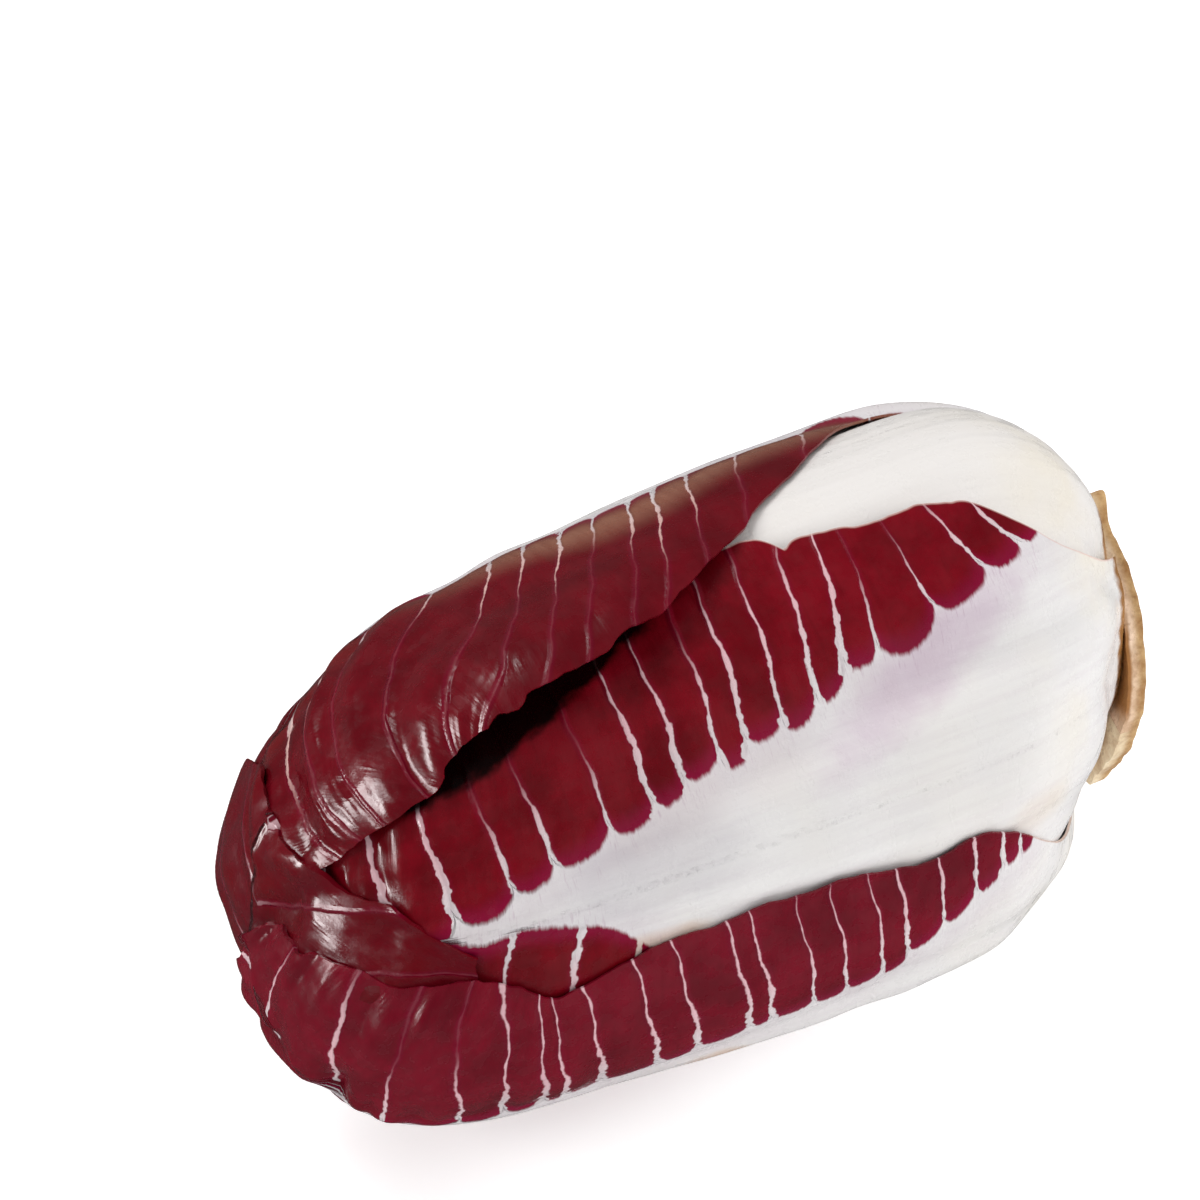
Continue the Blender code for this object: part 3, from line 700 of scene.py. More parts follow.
def start_piece(name):
    """Names the primitive that was just added."""
    obj = bpy.context.object
    obj.name = name
    obj.data.name = name
    return obj


def points_of(obj):
    found = np.empty(len(obj.data.vertices) * 3)
    obj.data.vertices.foreach_get("co", found)
    return found.reshape(-1, 3)


def move_points(obj, places):
    obj.data.vertices.foreach_set("co", np.ascontiguousarray(places, float).reshape(-1))
    obj.data.update()


def keep_values(obj, name, columns):
    """A point attribute of three numbers for the material."""
    made = obj.data.attributes.new(name, "FLOAT_VECTOR", "POINT")
    made.data.foreach_set("vector", np.stack(columns, -1).astype(np.float32).reshape(-1))


def cut_at_the_base(obj):
    """The knife's flat cut through everything at the base."""
    bpy.ops.object.mode_set(mode="EDIT")
    bpy.ops.mesh.select_all(action="SELECT")
    bpy.ops.mesh.bisect(plane_co=(CUT_X, 0, 0), plane_no=(1, 0, 0), use_fill=True, clear_outer=True)
    bpy.ops.object.mode_set(mode="OBJECT")


def finish_piece(obj, node, material, sharp=40):
    """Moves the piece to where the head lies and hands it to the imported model's body."""
    move_points(obj, laid_down(points_of(obj)))
    bpy.ops.object.select_all(action="DESELECT")
    obj.select_set(True)
    bpy.context.view_layer.objects.active = obj
    bpy.ops.object.shade_smooth_by_angle(angle=math.radians(sharp))
    obj.data.materials.clear()
    obj.data.materials.append(material)
    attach(obj, "root")
    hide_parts(node)
    triangles = sum(len(face.vertices) - 2 for face in obj.data.polygons)
    highest = round(float(points_of(obj)[:, 2].max()) / MM, 1)
    print(obj.name, triangles, "triangles, reaches up to", highest, "mm")


# %% Make one leaf
def make_leaf(leaf, material):
    under = bridged(leaf)
    bpy.ops.object.select_all(action="DESELECT")
    bpy.ops.mesh.primitive_grid_add(x_subdivisions=leaf["across"], y_subdivisions=leaf["along"], size=2)
    obj = start_piece(leaf["name"] + "_veined")
    flat = points_of(obj)
    v, u = flat[:, 0], (flat[:, 1] + 1) / 2
    s = FIRST_STATION + (last_station(leaf, v) - FIRST_STATION) * u
    left, right = margins(leaf, s)
    phi = np.where(v < 0, -v * left, v * right)
    outer, thick = leaf_form(leaf, under, s, phi, v)
    foot_x, ray, _ = rays(leaf, s, phi)
    places = ray * outer[:, None]
    places[:, 0] += foot_x
    move_points(obj, places)

    across = np.abs(np.degrees(phi)) * MM_PER_DEGREE
    row, past_red, spacing = vein_rows(leaf, s, across, np.sign(phi))
    to_side = np.where(v < 0, phi - left, right - phi) * 180 / math.pi * MM_PER_DEGREE
    to_margin = np.minimum(to_side, (last_station(leaf, v) - s) / MM)
    keep_values(obj, "leaf_place", (s / MM, across * np.sign(phi), to_margin))
    keep_values(obj, "leaf_marks", (row + np.where(phi < 0, LEFT_VEINS_FROM, 0), past_red, spacing))
    keep_values(obj, "leaf_ends", ((CUT_X - places[:, 0]) / MM, np.sign(phi), 0 * s))

    group = obj.vertex_groups.new(name="thickness")
    most = float(thick.max())
    for number, here in enumerate(thick):
        group.add([number], float(here) / most, "REPLACE")
    shell = obj.modifiers.new("blade and rib", "SOLIDIFY")
    shell.thickness = most
    shell.offset = -1.0
    shell.vertex_group = group.name
    bpy.ops.object.modifier_apply(modifier=shell.name)
    obj.vertex_groups.clear()
    cut_at_the_base(obj)
    finish_piece(obj, leaf["name"], material)
    return raise_map(leaf, under)


# %% [markdown]
# ## The leaf's colours
#
# One node group draws the markings for every leaf: white rib, red fingers with round feathered ends, pale
# veins that narrow outwards, thin lines along some margins (brown ones of the leaf's own, and a pale one that
# is a painted highlight), a painted brownish sheen on the upper fingers, and a browned edge at the cut. It
# reads the attributes, in millimetres on the leaf, so a number in it is a size on the real thing.

# %% Small helpers for nodes
def feed(tree, socket, given):
    if isinstance(given, bpy.types.NodeSocket):
        tree.links.new(given, socket)
    else:
        socket.default_value = given


def calc(tree, operation, *given):
    node = tree.nodes.new("ShaderNodeMath")
    node.operation = operation
    for socket, value in zip(node.inputs, given):
        feed(tree, socket, value)
    return node.outputs[0]


def plus(tree, one, other):
    return calc(tree, "ADD", one, other)


def minus(tree, one, other):
    return calc(tree, "SUBTRACT", one, other)


def times(tree, one, other):
    return calc(tree, "MULTIPLY", one, other)


def rise(tree, value, low, high, to_low=0.0, to_high=1.0):
    """A smooth rise from to_low to to_high while the value goes from low to high."""
    node = tree.nodes.new("ShaderNodeMapRange")
    node.interpolation_type = "SMOOTHSTEP"
    for socket, given in zip(node.inputs, (value, low, high, to_low, to_high)):
        feed(tree, socket, given)
    return node.outputs[0]


def tint(tree, share, colour, other, kind="MIX"):
    """The colour with a share of the other one over it."""
    node = tree.nodes.new("ShaderNodeMix")
    node.data_type = "RGBA"
    node.blend_type = kind
    feed(tree, node.inputs[0], share)
    feed(tree, node.inputs[6], colour)
    feed(tree, node.inputs[7], other)
    return node.outputs[2]


def vector_of(tree, x, y, z=0.0):
    node = tree.nodes.new("ShaderNodeCombineXYZ")
    for socket, given in zip(node.inputs, (x, y, z)):
        feed(tree, socket, given)
    return node.outputs[0]


def noise(tree, vector, scale, detail=2.0, roughness=0.5):
    node = tree.nodes.new("ShaderNodeTexNoise")
    feed(tree, node.inputs["Vector"], vector)
    node.inputs["Scale"].default_value = scale
    node.inputs["Detail"].default_value = detail
    node.inputs["Roughness"].default_value = roughness
    return node.outputs[0]


def chance(tree, value):
    """A fixed random number from 0 to 1 for each whole value."""
    node = tree.nodes.new("ShaderNodeTexWhiteNoise")
    node.noise_dimensions = "1D"
    feed(tree, node.inputs["W"], value)
    return node.outputs[0]


def parts_of(tree, vector):
    node = tree.nodes.new("ShaderNodeSeparateXYZ")
    feed(tree, node.inputs[0], vector)
    return node.outputs


def new_group(name, inputs, outputs):
    tree = bpy.data.node_groups.new(name, "ShaderNodeTree")
    for label, kind, value in inputs:
        socket = tree.interface.new_socket(label, in_out="INPUT", socket_type=kind)
        if value is not None:
            socket.default_value = value
    for label, kind in outputs:
        tree.interface.new_socket(label, in_out="OUTPUT", socket_type=kind)
    return tree, tree.nodes.new("NodeGroupInput").outputs, tree.nodes.new("NodeGroupOutput").inputs


print("ready: sums, differences, products, smooth rises, tints, noise and chance")

# %% The group that draws a leaf's markings
FLOAT, COLOUR, VECTOR = "NodeSocketFloat", "NodeSocketColor", "NodeSocketVector"
# Dark and pale of the brownish sheen that is painted into the red of the upper fingers.
PAINTED_SHEEN_DARK = (0.22, 0.075, 0.045, 1)
PAINTED_SHEEN_PALE = (0.36, 0.17, 0.11, 1)
BROWN_RIM = (0.50, 0.24, 0.12, 1)
BROWN_CUT = (0.33, 0.15, 0.045, 1)
THREAD = (0.52, 0.40, 0.47, 1)
SEED_STRIDE = 31.7

# Two of the values paint light: the sheen value paints a brownish sheen on the upper fingers, and the margin
# line in its default pale colour paints a highlight.
markings, given, out = new_group(
    "leaf_markings",
    [
        ("Place", VECTOR, None), ("Marks", VECTOR, None), ("Ends", VECTOR, None),
        ("Red", COLOUR, (0.20, 0.002, 0.009, 1)), ("Dark", COLOUR, (0.13, 0.001, 0.005, 1)),
        ("Finger end", COLOUR, (0.25, 0.003, 0.040, 1)), ("White", COLOUR, (0.80, 0.785, 0.775, 1)),
        ("Shade", COLOUR, (0.62, 0.55, 0.60, 1)), ("Warm", COLOUR, (0.83, 0.76, 0.62, 1)),
        ("Vein", COLOUR, (0.76, 0.48, 0.52, 1)), ("Vein width", FLOAT, 0.50), ("Vein strength", FLOAT, 0.92),
        ("Vein reach", FLOAT, 1.0), ("Finger length", FLOAT, 2.4), ("Bloom", FLOAT, 0.0),
        ("Rim", FLOAT, 0.0), ("Rim to", FLOAT, 300.0), ("Rim colour", COLOUR, (0.72, 0.50, 0.45, 1)),
        ("Brown rim to", FLOAT, -10.0), ("Left fingers", FLOAT, 1.0), ("Seed", FLOAT, 0.0),
    ],
    [("Color", COLOUR), ("Roughness", FLOAT), ("Height", FLOAT)],
)
along, sideways, to_margin = parts_of(markings, given["Place"])
row, past_red, spacing = parts_of(markings, given["Marks"])
from_cut, side, _ = parts_of(markings, given["Ends"])

seeded = times(markings, given["Seed"], SEED_STRIDE)
on_leaf = vector_of(markings, along, sideways, seeded)
strands = vector_of(markings, times(markings, along, 1.5), times(markings, sideways, 0.16), seeded)
long_strands = vector_of(markings, times(markings, along, 0.05), sideways, seeded)
feather = minus(markings, noise(markings, strands, 0.9, 4.0, 0.62), 0.5)
print("the group takes", len(markings.interface.items_tree) - 3, "values")

# %% Where the red fingers end
step = calc(markings, "FRACT", row)
finger = plus(markings, calc(markings, "FLOOR", row), seeded)
nearest = calc(markings, "MINIMUM", step, minus(markings, 1.0, step))
from_vein = times(markings, nearest, spacing)
to_side_vein = minus(markings, 1.0, times(markings, nearest, 2.0))
bow = calc(markings, "SQRT", minus(markings, 1.0, calc(markings, "POWER", to_side_vein, 2.6)))
round_end = times(markings, minus(markings, 1.0, bow), times(markings, spacing, 0.45))
shorter = times(markings, minus(markings, chance(markings, finger), 0.5), given["Finger length"])
fingered = rise(markings, side, -0.5, 0.5, given["Left fingers"], 1.0)
round_end = times(markings, round_end, fingered)
shorter = times(markings, shorter, fingered)
ragged = times(markings, feather, 1.5)
border = plus(markings, plus(markings, round_end, shorter), ragged)
into_red = minus(markings, past_red, border)
finger_mask = rise(markings, into_red, -0.45, 0.60)
print("the fingers' ends take", len(markings.nodes), "nodes so far")

# %% [markdown]
# The side veins are wide and white where they leave the rib, and thin and pink further out. No two
# of them fade at the same length, so a random number for each vein sets that.

# %% The side veins
vein_number = plus(markings, calc(markings, "FLOOR", plus(markings, row, 0.5)), seeded)
vein_luck = chance(markings, plus(markings, vein_number, 0.37))
sleeve = times(markings, rise(markings, past_red, -1.0, 4.5, 1.1, 0.0), fingered)
narrowing = plus(
    markings, rise(markings, past_red, 5.0, 24.0, 0.85, 0.22), rise(markings, along, 155.0, 180.0, 0.0, 0.45)
)
widening = plus(markings, sleeve, narrowing)
uneven = rise(markings, noise(markings, on_leaf, 0.45, 2.0), 0.32, 0.68, 0.45, 1.5)
luck_width = rise(markings, vein_luck, 0.0, 1.0, 0.6, 1.3)
vein_half = times(markings, times(markings, widening, given["Vein width"]), uneven)
vein_half = times(markings, vein_half, luck_width)
vein_over = minus(markings, from_vein, vein_half)
vein_mask = minus(markings, 1.0, rise(markings, vein_over, -0.10, 0.14))
fade_from = times(markings, rise(markings, vein_luck, 0.0, 1.0, 4.0, 18.0), given["Vein reach"])
past_fade = minus(markings, past_red, fade_from)
fading = rise(markings, past_fade, 0.0, 13.0, 1.0, 0.05)
vein_share = times(markings, times(markings, vein_mask, fading), given["Vein strength"])
halo = minus(markings, 1.0, rise(markings, vein_over, 0.0, 0.9))
print("with the side veins,", len(markings.nodes), "nodes")

# %% [markdown]
# The red isn't one colour: it has darker and lighter patches, and the finger ends and the skin
# beside a vein are brighter. The white rib has long strands, a cool shade beside the red, a warm
# one near the base, and short pinkish threads where the red is about to start.

# %% The red blade and the white rib
patches = noise(markings, on_leaf, 0.09, 4.0, 0.6)
mottled = noise(markings, strands, 0.45, 3.0, 0.6)
red = tint(markings, rise(markings, patches, 0.35, 0.68), given["Red"], given["Dark"])
red = tint(markings, rise(markings, mottled, 0.45, 0.8, 0.0, 0.55), red, given["Dark"])
end_glow = times(markings, rise(markings, into_red, 0.0, 4.5, 1.0, 0.0), 0.8)
red = tint(markings, end_glow, red, given["Finger end"])
red = tint(markings, times(markings, halo, 0.25), red, given["Finger end"])

grain = noise(markings, long_strands, 0.8, 4.0, 0.6)
cloud = noise(markings, on_leaf, 0.045, 3.0, 0.55)
white = tint(markings, rise(markings, grain, 0.35, 0.75, 0.0, 0.22), given["White"], given["Shade"])
near_red = rise(markings, past_red, -11.0, 0.0, 0.0, 1.0)
cool = times(markings, near_red, rise(markings, cloud, 0.3, 0.65, 0.15, 0.65))
white = tint(markings, cool, white, given["Shade"])
warm = times(markings, rise(markings, from_cut, 0.0, 34.0, 0.75, 0.12), rise(markings, cloud, 0.4, 0.7))
white = tint(markings, warm, white, given["Warm"])
threads = noise(markings, strands, 2.3, 2.0, 0.5)
thread_share = times(
    markings, rise(markings, threads, 0.56, 0.74), rise(markings, past_red, -6.0, 1.0, 0.0, 0.5)
)
white = tint(markings, thread_share, white, THREAD)
print("with both colours,", len(markings.nodes), "nodes")

# %% [markdown]
# The layers are put together from the bottom up: white and red, a brownish sheen painted on the upper
# fingers, the veins over it, the margins' thin lines, of which the pale one is a painted highlight, and the
# browned cut.

# %% The layers of colour
vein_colour = tint(markings, rise(markings, past_red, 2.0, 16.0), white, given["Vein"])
leaf_colour = tint(markings, finger_mask, white, red)
# A brownish sheen painted into the red: strongest on the left side on the fingers near the rib, weaker at the
# finger ends, and fading towards the tip.
painted_sheen = times(markings, given["Bloom"], rise(markings, past_red, 7.0, 17.0, 1.0, 0.0))
painted_sheen = times(markings, painted_sheen, rise(markings, along, 120.0, 165.0, 1.0, 0.1))
painted_sheen = times(markings, painted_sheen, rise(markings, side, -0.2, 0.2, 1.0, 0.1))
painted_sheen = times(markings, painted_sheen, rise(markings, into_red, 1.0, 6.0, 0.15, 1.0))
painted_sheen = times(markings, painted_sheen, finger_mask)
leaf_colour = tint(markings, painted_sheen, leaf_colour, tint(markings, mottled, PAINTED_SHEEN_DARK, PAINTED_SHEEN_PALE))
leaf_colour = tint(markings, vein_share, leaf_colour, vein_colour)
# The margin line on the right side: in its default pale colour it is a painted highlight, and in brown it is
# the leaf's own browned edge.
rim_share = times(markings, rise(markings, to_margin, 0.05, 0.45, 1.0, 0.0), given["Rim"])
rim_share = times(markings, rim_share, rise(markings, side, -0.2, 0.2))
past_rim = minus(markings, along, given["Rim to"])
rim_share = times(markings, rim_share, rise(markings, past_rim, -4.0, 2.0, 1.0, 0.0))
leaf_colour = tint(markings, rim_share, leaf_colour, given["Rim colour"])
past_brown = minus(markings, along, given["Brown rim to"])
brown_rim = rise(markings, past_brown, -4.0, 2.0, 0.8, 0.0)
brown_rim = times(markings, brown_rim, rise(markings, side, -0.2, 0.2, 1.0, 0.0))
brown_rim = times(markings, brown_rim, rise(markings, to_margin, 0.2, 0.7, 1.0, 0.0))
leaf_colour = tint(markings, brown_rim, leaf_colour, BROWN_RIM)
cut_wander = times(markings, noise(markings, on_leaf, 0.5, 3.0), 2.4)
browned = rise(markings, minus(markings, from_cut, cut_wander), -0.6, 1.1, 1.0, 0.0)
leaf_colour = tint(markings, browned, leaf_colour, BROWN_CUT)
feed(markings, out["Color"], leaf_colour)
print("with the layers,", len(markings.nodes), "nodes")

# %% [markdown]
# The finest relief is a bump, because it is a fraction of a millimetre high: the ridge and the
# beads of each vein, the skin's grain and the rib's strands. Towards the tip the blade is glossier,
# and bumps crease it along its veins, between the folds that the mesh already has.

# %% Roughness, and height in millimetres
at_tip = rise(markings, along, 135.0, 180.0)
rough = rise(markings, noise(markings, on_leaf, 0.35, 3.0), 0.3, 0.7, 0.22, 0.36)
rough = minus(markings, rough, times(markings, at_tip, 0.06))
feed(markings, out["Roughness"], rough)
along_veins = vector_of(markings, times(markings, row, 6.0), times(markings, sideways, 0.14), seeded)
tip_folds = times(markings, noise(markings, along_veins, 0.20, 2.0, 0.5), 1.9)
tip_folds = times(markings, times(markings, tip_folds, at_tip), finger_mask)
vein_ridge = times(markings, rise(markings, from_vein, 0.0, 0.8, 0.20, 0.0), finger_mask)
beads = times(markings, minus(markings, noise(markings, on_leaf, 0.8, 2.0), 0.5), 0.14)
beads = times(markings, beads, vein_mask)
skin = times(markings, noise(markings, on_leaf, 1.6, 3.0, 0.55), 0.022)
wrinkle = times(markings, noise(markings, strands, 0.5, 2.0, 0.5), 0.09)
wrinkle = times(markings, wrinkle, finger_mask)
strand_height = times(markings, times(markings, grain, 0.06), minus(markings, 1.0, finger_mask))
total = plus(markings, plus(markings, vein_ridge, beads), plus(markings, skin, wrinkle))
total = plus(markings, plus(markings, total, strand_height), tip_folds)
feed(markings, out["Height"], total)
print("the markings take", len(markings.nodes), "nodes in all")

# %% [markdown]
# ## The leaves' finishes
#
# Every leaf gets the same group with values of its own. Over it lie soft-edged patches multiplied onto the
# colour. A purple bruise on the white rib and a tan spot on the low leaf are the leaf's own. The rest is
# painted shade: a lavender shade and a greyish one on the front leaf's rib, brownish painted shadow beside
# the low leaf's margin, and the dark of the deep fold under the leaf that comes over the top, painted in
# because a few bounces of light leave it too pale.

# %% A leaf's material
STAIN_AND_SHADE_EDGE = 1.3


def stained_and_shaded(tree, colour, place, stains_and_shades):
    """The colour with soft-edged patches multiplied over it, each at a place on the leaf in millimetres: the
    leaf's own spots and bruises, and painted shade and shadow.
    """
    along, sideways, _ = parts_of(tree, place)
    uneven = times(tree, noise(tree, place, 0.22, 3.0), 0.7)
    for (at, beside), (long, wide), slant, soft, share, pigment_and_shade in stains_and_shades:
        far_along = calc(tree, "DIVIDE", minus(tree, along, at), long)
        beside_here = minus(tree, beside, times(tree, far_along, slant * long))
        far_beside = calc(tree, "DIVIDE", minus(tree, sideways, beside_here), wide)
        away = plus(tree, calc(tree, "POWER", far_along, 2.0), calc(tree, "POWER", far_beside, 2.0))
        away = plus(tree, away, uneven)
        here = rise(tree, away, STAIN_AND_SHADE_EDGE - soft, STAIN_AND_SHADE_EDGE, share, 0.0)
        colour = tint(tree, here, colour, pigment_and_shade, "MULTIPLY")
    return colour


def leaf_material(name, seed, gloss=0.35, stains_and_shades=(), **values):
    made = bpy.data.materials.new(name)
    made.use_nodes = True
    tree = made.node_tree
    shader = tree.nodes["Principled BSDF"]
    drawn = tree.nodes.new("ShaderNodeGroup")
    drawn.node_tree = markings
    for attribute, socket in (("leaf_marks", "Marks"), ("leaf_ends", "Ends"), ("leaf_place", "Place")):
        kept = tree.nodes.new("ShaderNodeAttribute")
        kept.attribute_name = attribute
        tree.links.new(kept.outputs["Vector"], drawn.inputs[socket])
    colour = stained_and_shaded(tree, drawn.outputs["Color"], kept.outputs["Vector"], stains_and_shades)
    drawn.inputs["Seed"].default_value = seed
    for label, value in values.items():
        drawn.inputs[label.replace("_", " ")].default_value = value
    bump = tree.nodes.new("ShaderNodeBump")
    bump.inputs["Distance"].default_value = MM
    tree.links.new(drawn.outputs["Height"], bump.inputs["Height"])
    tree.links.new(bump.outputs["Normal"], shader.inputs["Normal"])
    tree.links.new(colour, shader.inputs["Base Color"])
    tree.links.new(drawn.outputs["Roughness"], shader.inputs["Roughness"])
    shader.inputs["Specular IOR Level"].default_value = gloss
    return made


print("a stain fades out at", STAIN_AND_SHADE_EDGE, "times its size")

# %% The finish of each leaf
# Patch colours: the lavender, the greyish and the near-black ones are painted shade and shadow; the brownish
# one paints a shadow on the front leaf and is a tan spot on the low leaf; the purple one is a bruise.
PAINTED_LAVENDER_SHADE = (0.86, 0.76, 0.85, 1)
PURPLE = (0.72, 0.48, 0.66, 1)
TAN_SPOT_AND_PAINTED_SHADOW = (0.86, 0.62, 0.44, 1)
PAINTED_GREY_SHADE = (0.83, 0.82, 0.85, 1)
PAINTED_FOLD_SHADOW = (0.03, 0.02, 0.02, 1)

finishes = {
    "leaf_top": leaf_material("top leaf", 3, White=(0.82, 0.79, 0.765, 1), Shade=(0.75, 0.71, 0.69, 1)),
    "leaf_back": leaf_material("back leaf", 4),
    # On the front leaf the pale margin line is a painted highlight, and most of its patches are painted
    # shade.
    "leaf_front": leaf_material(
        "front leaf", 5, Rim=0.7, Brown_rim_to=48.0, Left_fingers=0.1, Vein_reach=1.3,
        stains_and_shades=[
            # A lavender painted shade under the fingers, a purple bruise, brownish painted shadow beside the
            # low leaf's margin, a greyish painted shade, and the painted dark of the fold.
            ((78, 18), (30, 9), 0.45, 1.0, 0.9, PAINTED_LAVENDER_SHADE), ((29, 23), (5, 3), 0.0, 1.0, 0.7, PURPLE),
            ((135, -11), (14, 3.4), 0.0, 1.0, 0.6, TAN_SPOT_AND_PAINTED_SHADOW), ((60, -13), (10, 6), 0.0, 1.0, 0.2, TAN_SPOT_AND_PAINTED_SHADOW),
            ((133, 2), (22, 10), 0.0, 1.0, 0.8, PAINTED_GREY_SHADE), ((150, 37), (50, 10), 0.3, 0.4, 1.0, PAINTED_FOLD_SHADOW),
        ],
    ),
    # The leaf over the top gets the strongest painted brownish sheen on its upper fingers.
    "leaf_over_top": leaf_material(
        "leaf over the top", 6, gloss=0.45, Bloom=0.85, Vein_strength=0.9, Vein_width=0.38,
        Red=(0.15, 0.002, 0.008, 1), Dark=(0.105, 0.001, 0.005, 1), Vein=(0.72, 0.46, 0.42, 1),
    ),
    "leaf_tip": leaf_material("tip leaf", 7, gloss=0.45, Red=(0.12, 0.002, 0.008, 1), Vein_strength=0.7),
    "leaf_low": leaf_material(
        "low leaf", 8, gloss=0.3, Red=(0.19, 0.004, 0.016, 1), Dark=(0.135, 0.003, 0.011, 1), Vein_reach=2.6,
        Vein_width=0.44, Rim=0.5, Rim_to=60.0, Rim_colour=BROWN_RIM,
        stains_and_shades=[((122, 6), (7, 3), 0.0, 1.0, 0.7, TAN_SPOT_AND_PAINTED_SHADOW)],
    ),
}
for number in (1, 2, 3):
    finishes[f"leaf_inner_{number}"] = leaf_material(f"inner leaf {number}", 8 + number)
print(len(finishes), "leaf finishes")

# %% [markdown]
# ## The heart
#
# It hardly shows, so it is one closed form: a sphere whose rings are drawn out to the stations
# and whose surface follows the heart's reach, with the ridges of its packed leaves.

# %% The heart's finish
HEART_PALE = (0.80, 0.76, 0.70, 1)
HEART_RED = (0.52, 0.20, 0.24, 1)

heart_finish = bpy.data.materials.new("heart leaves")
heart_finish.use_nodes = True
heart_tree = heart_finish.node_tree
heart_shader = heart_tree.nodes["Principled BSDF"]
heart_where = heart_tree.nodes.new("ShaderNodeTexCoord").outputs["Object"]
heart_cloud = noise(heart_tree, heart_where, 70.0, 4.0, 0.6)
heart_colour = tint(heart_tree, rise(heart_tree, heart_cloud, 0.4, 0.65), HEART_PALE, HEART_RED)
feed(heart_tree, heart_shader.inputs["Base Color"], heart_colour)
feed(heart_tree, heart_shader.inputs["Roughness"], rise(heart_tree, heart_cloud, 0.3, 0.7, 0.4, 0.6))
print("the heart's finish takes", len(heart_tree.nodes), "nodes")

# %% Make the heart
HEART_SIDES = 120
HEART_RINGS = 100

bpy.ops.object.select_all(action="DESELECT")
bpy.ops.mesh.primitive_uv_sphere_add(segments=HEART_SIDES, ring_count=HEART_RINGS, radius=1)
heart = start_piece("heart_packed")
ball = points_of(heart)
heart_station = np.arccos(np.clip(ball[:, 2], -1, 1)) / math.pi * WHOLE
heart_theta = np.arctan2(ball[:, 1], ball[:, 0])
heart_tilt = (np.clip(heart_station, BASE_STATION, TIP_STATION) - heart_station) / FAN_RADIUS
heart_out, _ = round_the_head(heart_theta)
heart_far = heart_reach(heart_station, heart_theta) - LEAF_GAP / 2
heart_ray = np.cos(heart_tilt)[:, None] * heart_out
heart_ray[:, 0] += np.sin(heart_tilt)
heart_places = heart_far[:, None] * heart_ray
heart_places[:, 0] += SPINE_BASE_X - np.clip(heart_station - BASE_STATION, 0, TIP_STATION - BASE_STATION)
move_points(heart, heart_places)
bpy.ops.object.mode_set(mode="EDIT")
bpy.ops.mesh.select_all(action="SELECT")
bpy.ops.mesh.normals_make_consistent(inside=False)
bpy.ops.object.mode_set(mode="OBJECT")
cut_at_the_base(heart)
finish_piece(heart, "heart", heart_finish, sharp=60)

# %% Lay the leaves over it
for leaf in LEAVES:
    head_map = make_leaf(leaf, finishes[leaf["name"]])
print("the head now reaches", round(float(head_map.max()) / MM, 1), "mm from the spine")

# %% [markdown]
# ## The cut stem
#
# The stem was cut with a knife and the cut dried to a tan, fibrous crust with the scars of trimmed
# leaves round a paler middle. A cylinder's face is inset ring by ring, and its points are then
# moved by formulas for the scars, the cracks, the nub at the top and the flake below. Its wall is
# paler than its face, and browned where it is hollow beside the leaves.

# %% The stem's finish
CRUST_LIGHT = (0.66, 0.43, 0.20, 1)
CRUST_DARK = (0.40, 0.20, 0.07, 1)
PITH = (0.74, 0.60, 0.38, 1)
RING_BROWN = (0.30, 0.14, 0.05, 1)
WALL_UPPER = (0.94, 0.80, 0.57, 1)
WALL_LOWER = (0.97, 0.72, 0.54, 1)
HOLLOW_BROWN = (0.38, 0.16, 0.04, 1)
FLECK_BROWN = (0.32, 0.15, 0.05, 1)

stem_finish = bpy.data.materials.new("cut stem")
stem_finish.use_nodes = True
stem_tree = stem_finish.node_tree
stem_shader = stem_tree.nodes["Principled BSDF"]
stem_kept = stem_tree.nodes.new("ShaderNodeAttribute")
stem_kept.attribute_name = "stem_place"
stem_radius, stem_depth, stem_turn = parts_of(stem_tree, stem_kept.outputs["Vector"])
stem_where = stem_tree.nodes.new("ShaderNodeTexCoord").outputs["Object"]
stem_blotch = noise(stem_tree, stem_where, 160.0, 5.0, 0.65)
stem_fine = noise(stem_tree, stem_where, 900.0, 4.0, 0.6)
stem_colour = tint(stem_tree, rise(stem_tree, stem_blotch, 0.35, 0.65), CRUST_LIGHT, CRUST_DARK)
stem_pith = rise(stem_tree, stem_radius, 6.0, 11.0, 0.8, 0.0)
stem_colour = tint(stem_tree, stem_pith, stem_colour, PITH)
stem_ring = times(
    stem_tree, rise(stem_tree, stem_radius, 9.5, 11.0), rise(stem_tree, stem_radius, 11.5, 13.0, 1.0, 0.0)
)
stem_colour = tint(stem_tree, times(stem_tree, stem_ring, 0.6), stem_colour, RING_BROWN)
stem_pale = times(
    stem_tree, rise(stem_tree, stem_depth, 0.6, 2.6), rise(stem_tree, stem_blotch, 0.3, 0.6, 1.0, 0.4)
)
stem_wall = tint(stem_tree, rise(stem_tree, stem_turn, 1.3, 2.1), WALL_UPPER, WALL_LOWER)
stem_colour = tint(stem_tree, stem_pale, stem_colour, stem_wall)
stem_cavity = times(
    stem_tree, rise(stem_tree, stem_turn, 2.1, 2.4), rise(stem_tree, stem_turn, 2.9, 3.1, 1.0, 0.0)
)
stem_cavity = times(stem_tree, stem_cavity, rise(stem_tree, stem_depth, 2.5, 3.2))
stem_colour = tint(stem_tree, stem_cavity, stem_colour, HOLLOW_BROWN)
stem_flecks = rise(stem_tree, stem_fine, 0.55, 0.75, 0.0, 0.5)
stem_colour = tint(stem_tree, stem_flecks, stem_colour, FLECK_BROWN)
feed(stem_tree, stem_shader.inputs["Base Color"], stem_colour)
feed(stem_tree, stem_shader.inputs["Roughness"], rise(stem_tree, stem_blotch, 0.3, 0.7, 0.55, 0.8))
stem_bump = stem_tree.nodes.new("ShaderNodeBump")
stem_bump.inputs["Distance"].default_value = 0.3 * MM
feed(stem_tree, stem_bump.inputs["Height"], plus(stem_tree, stem_fine, stem_blotch))
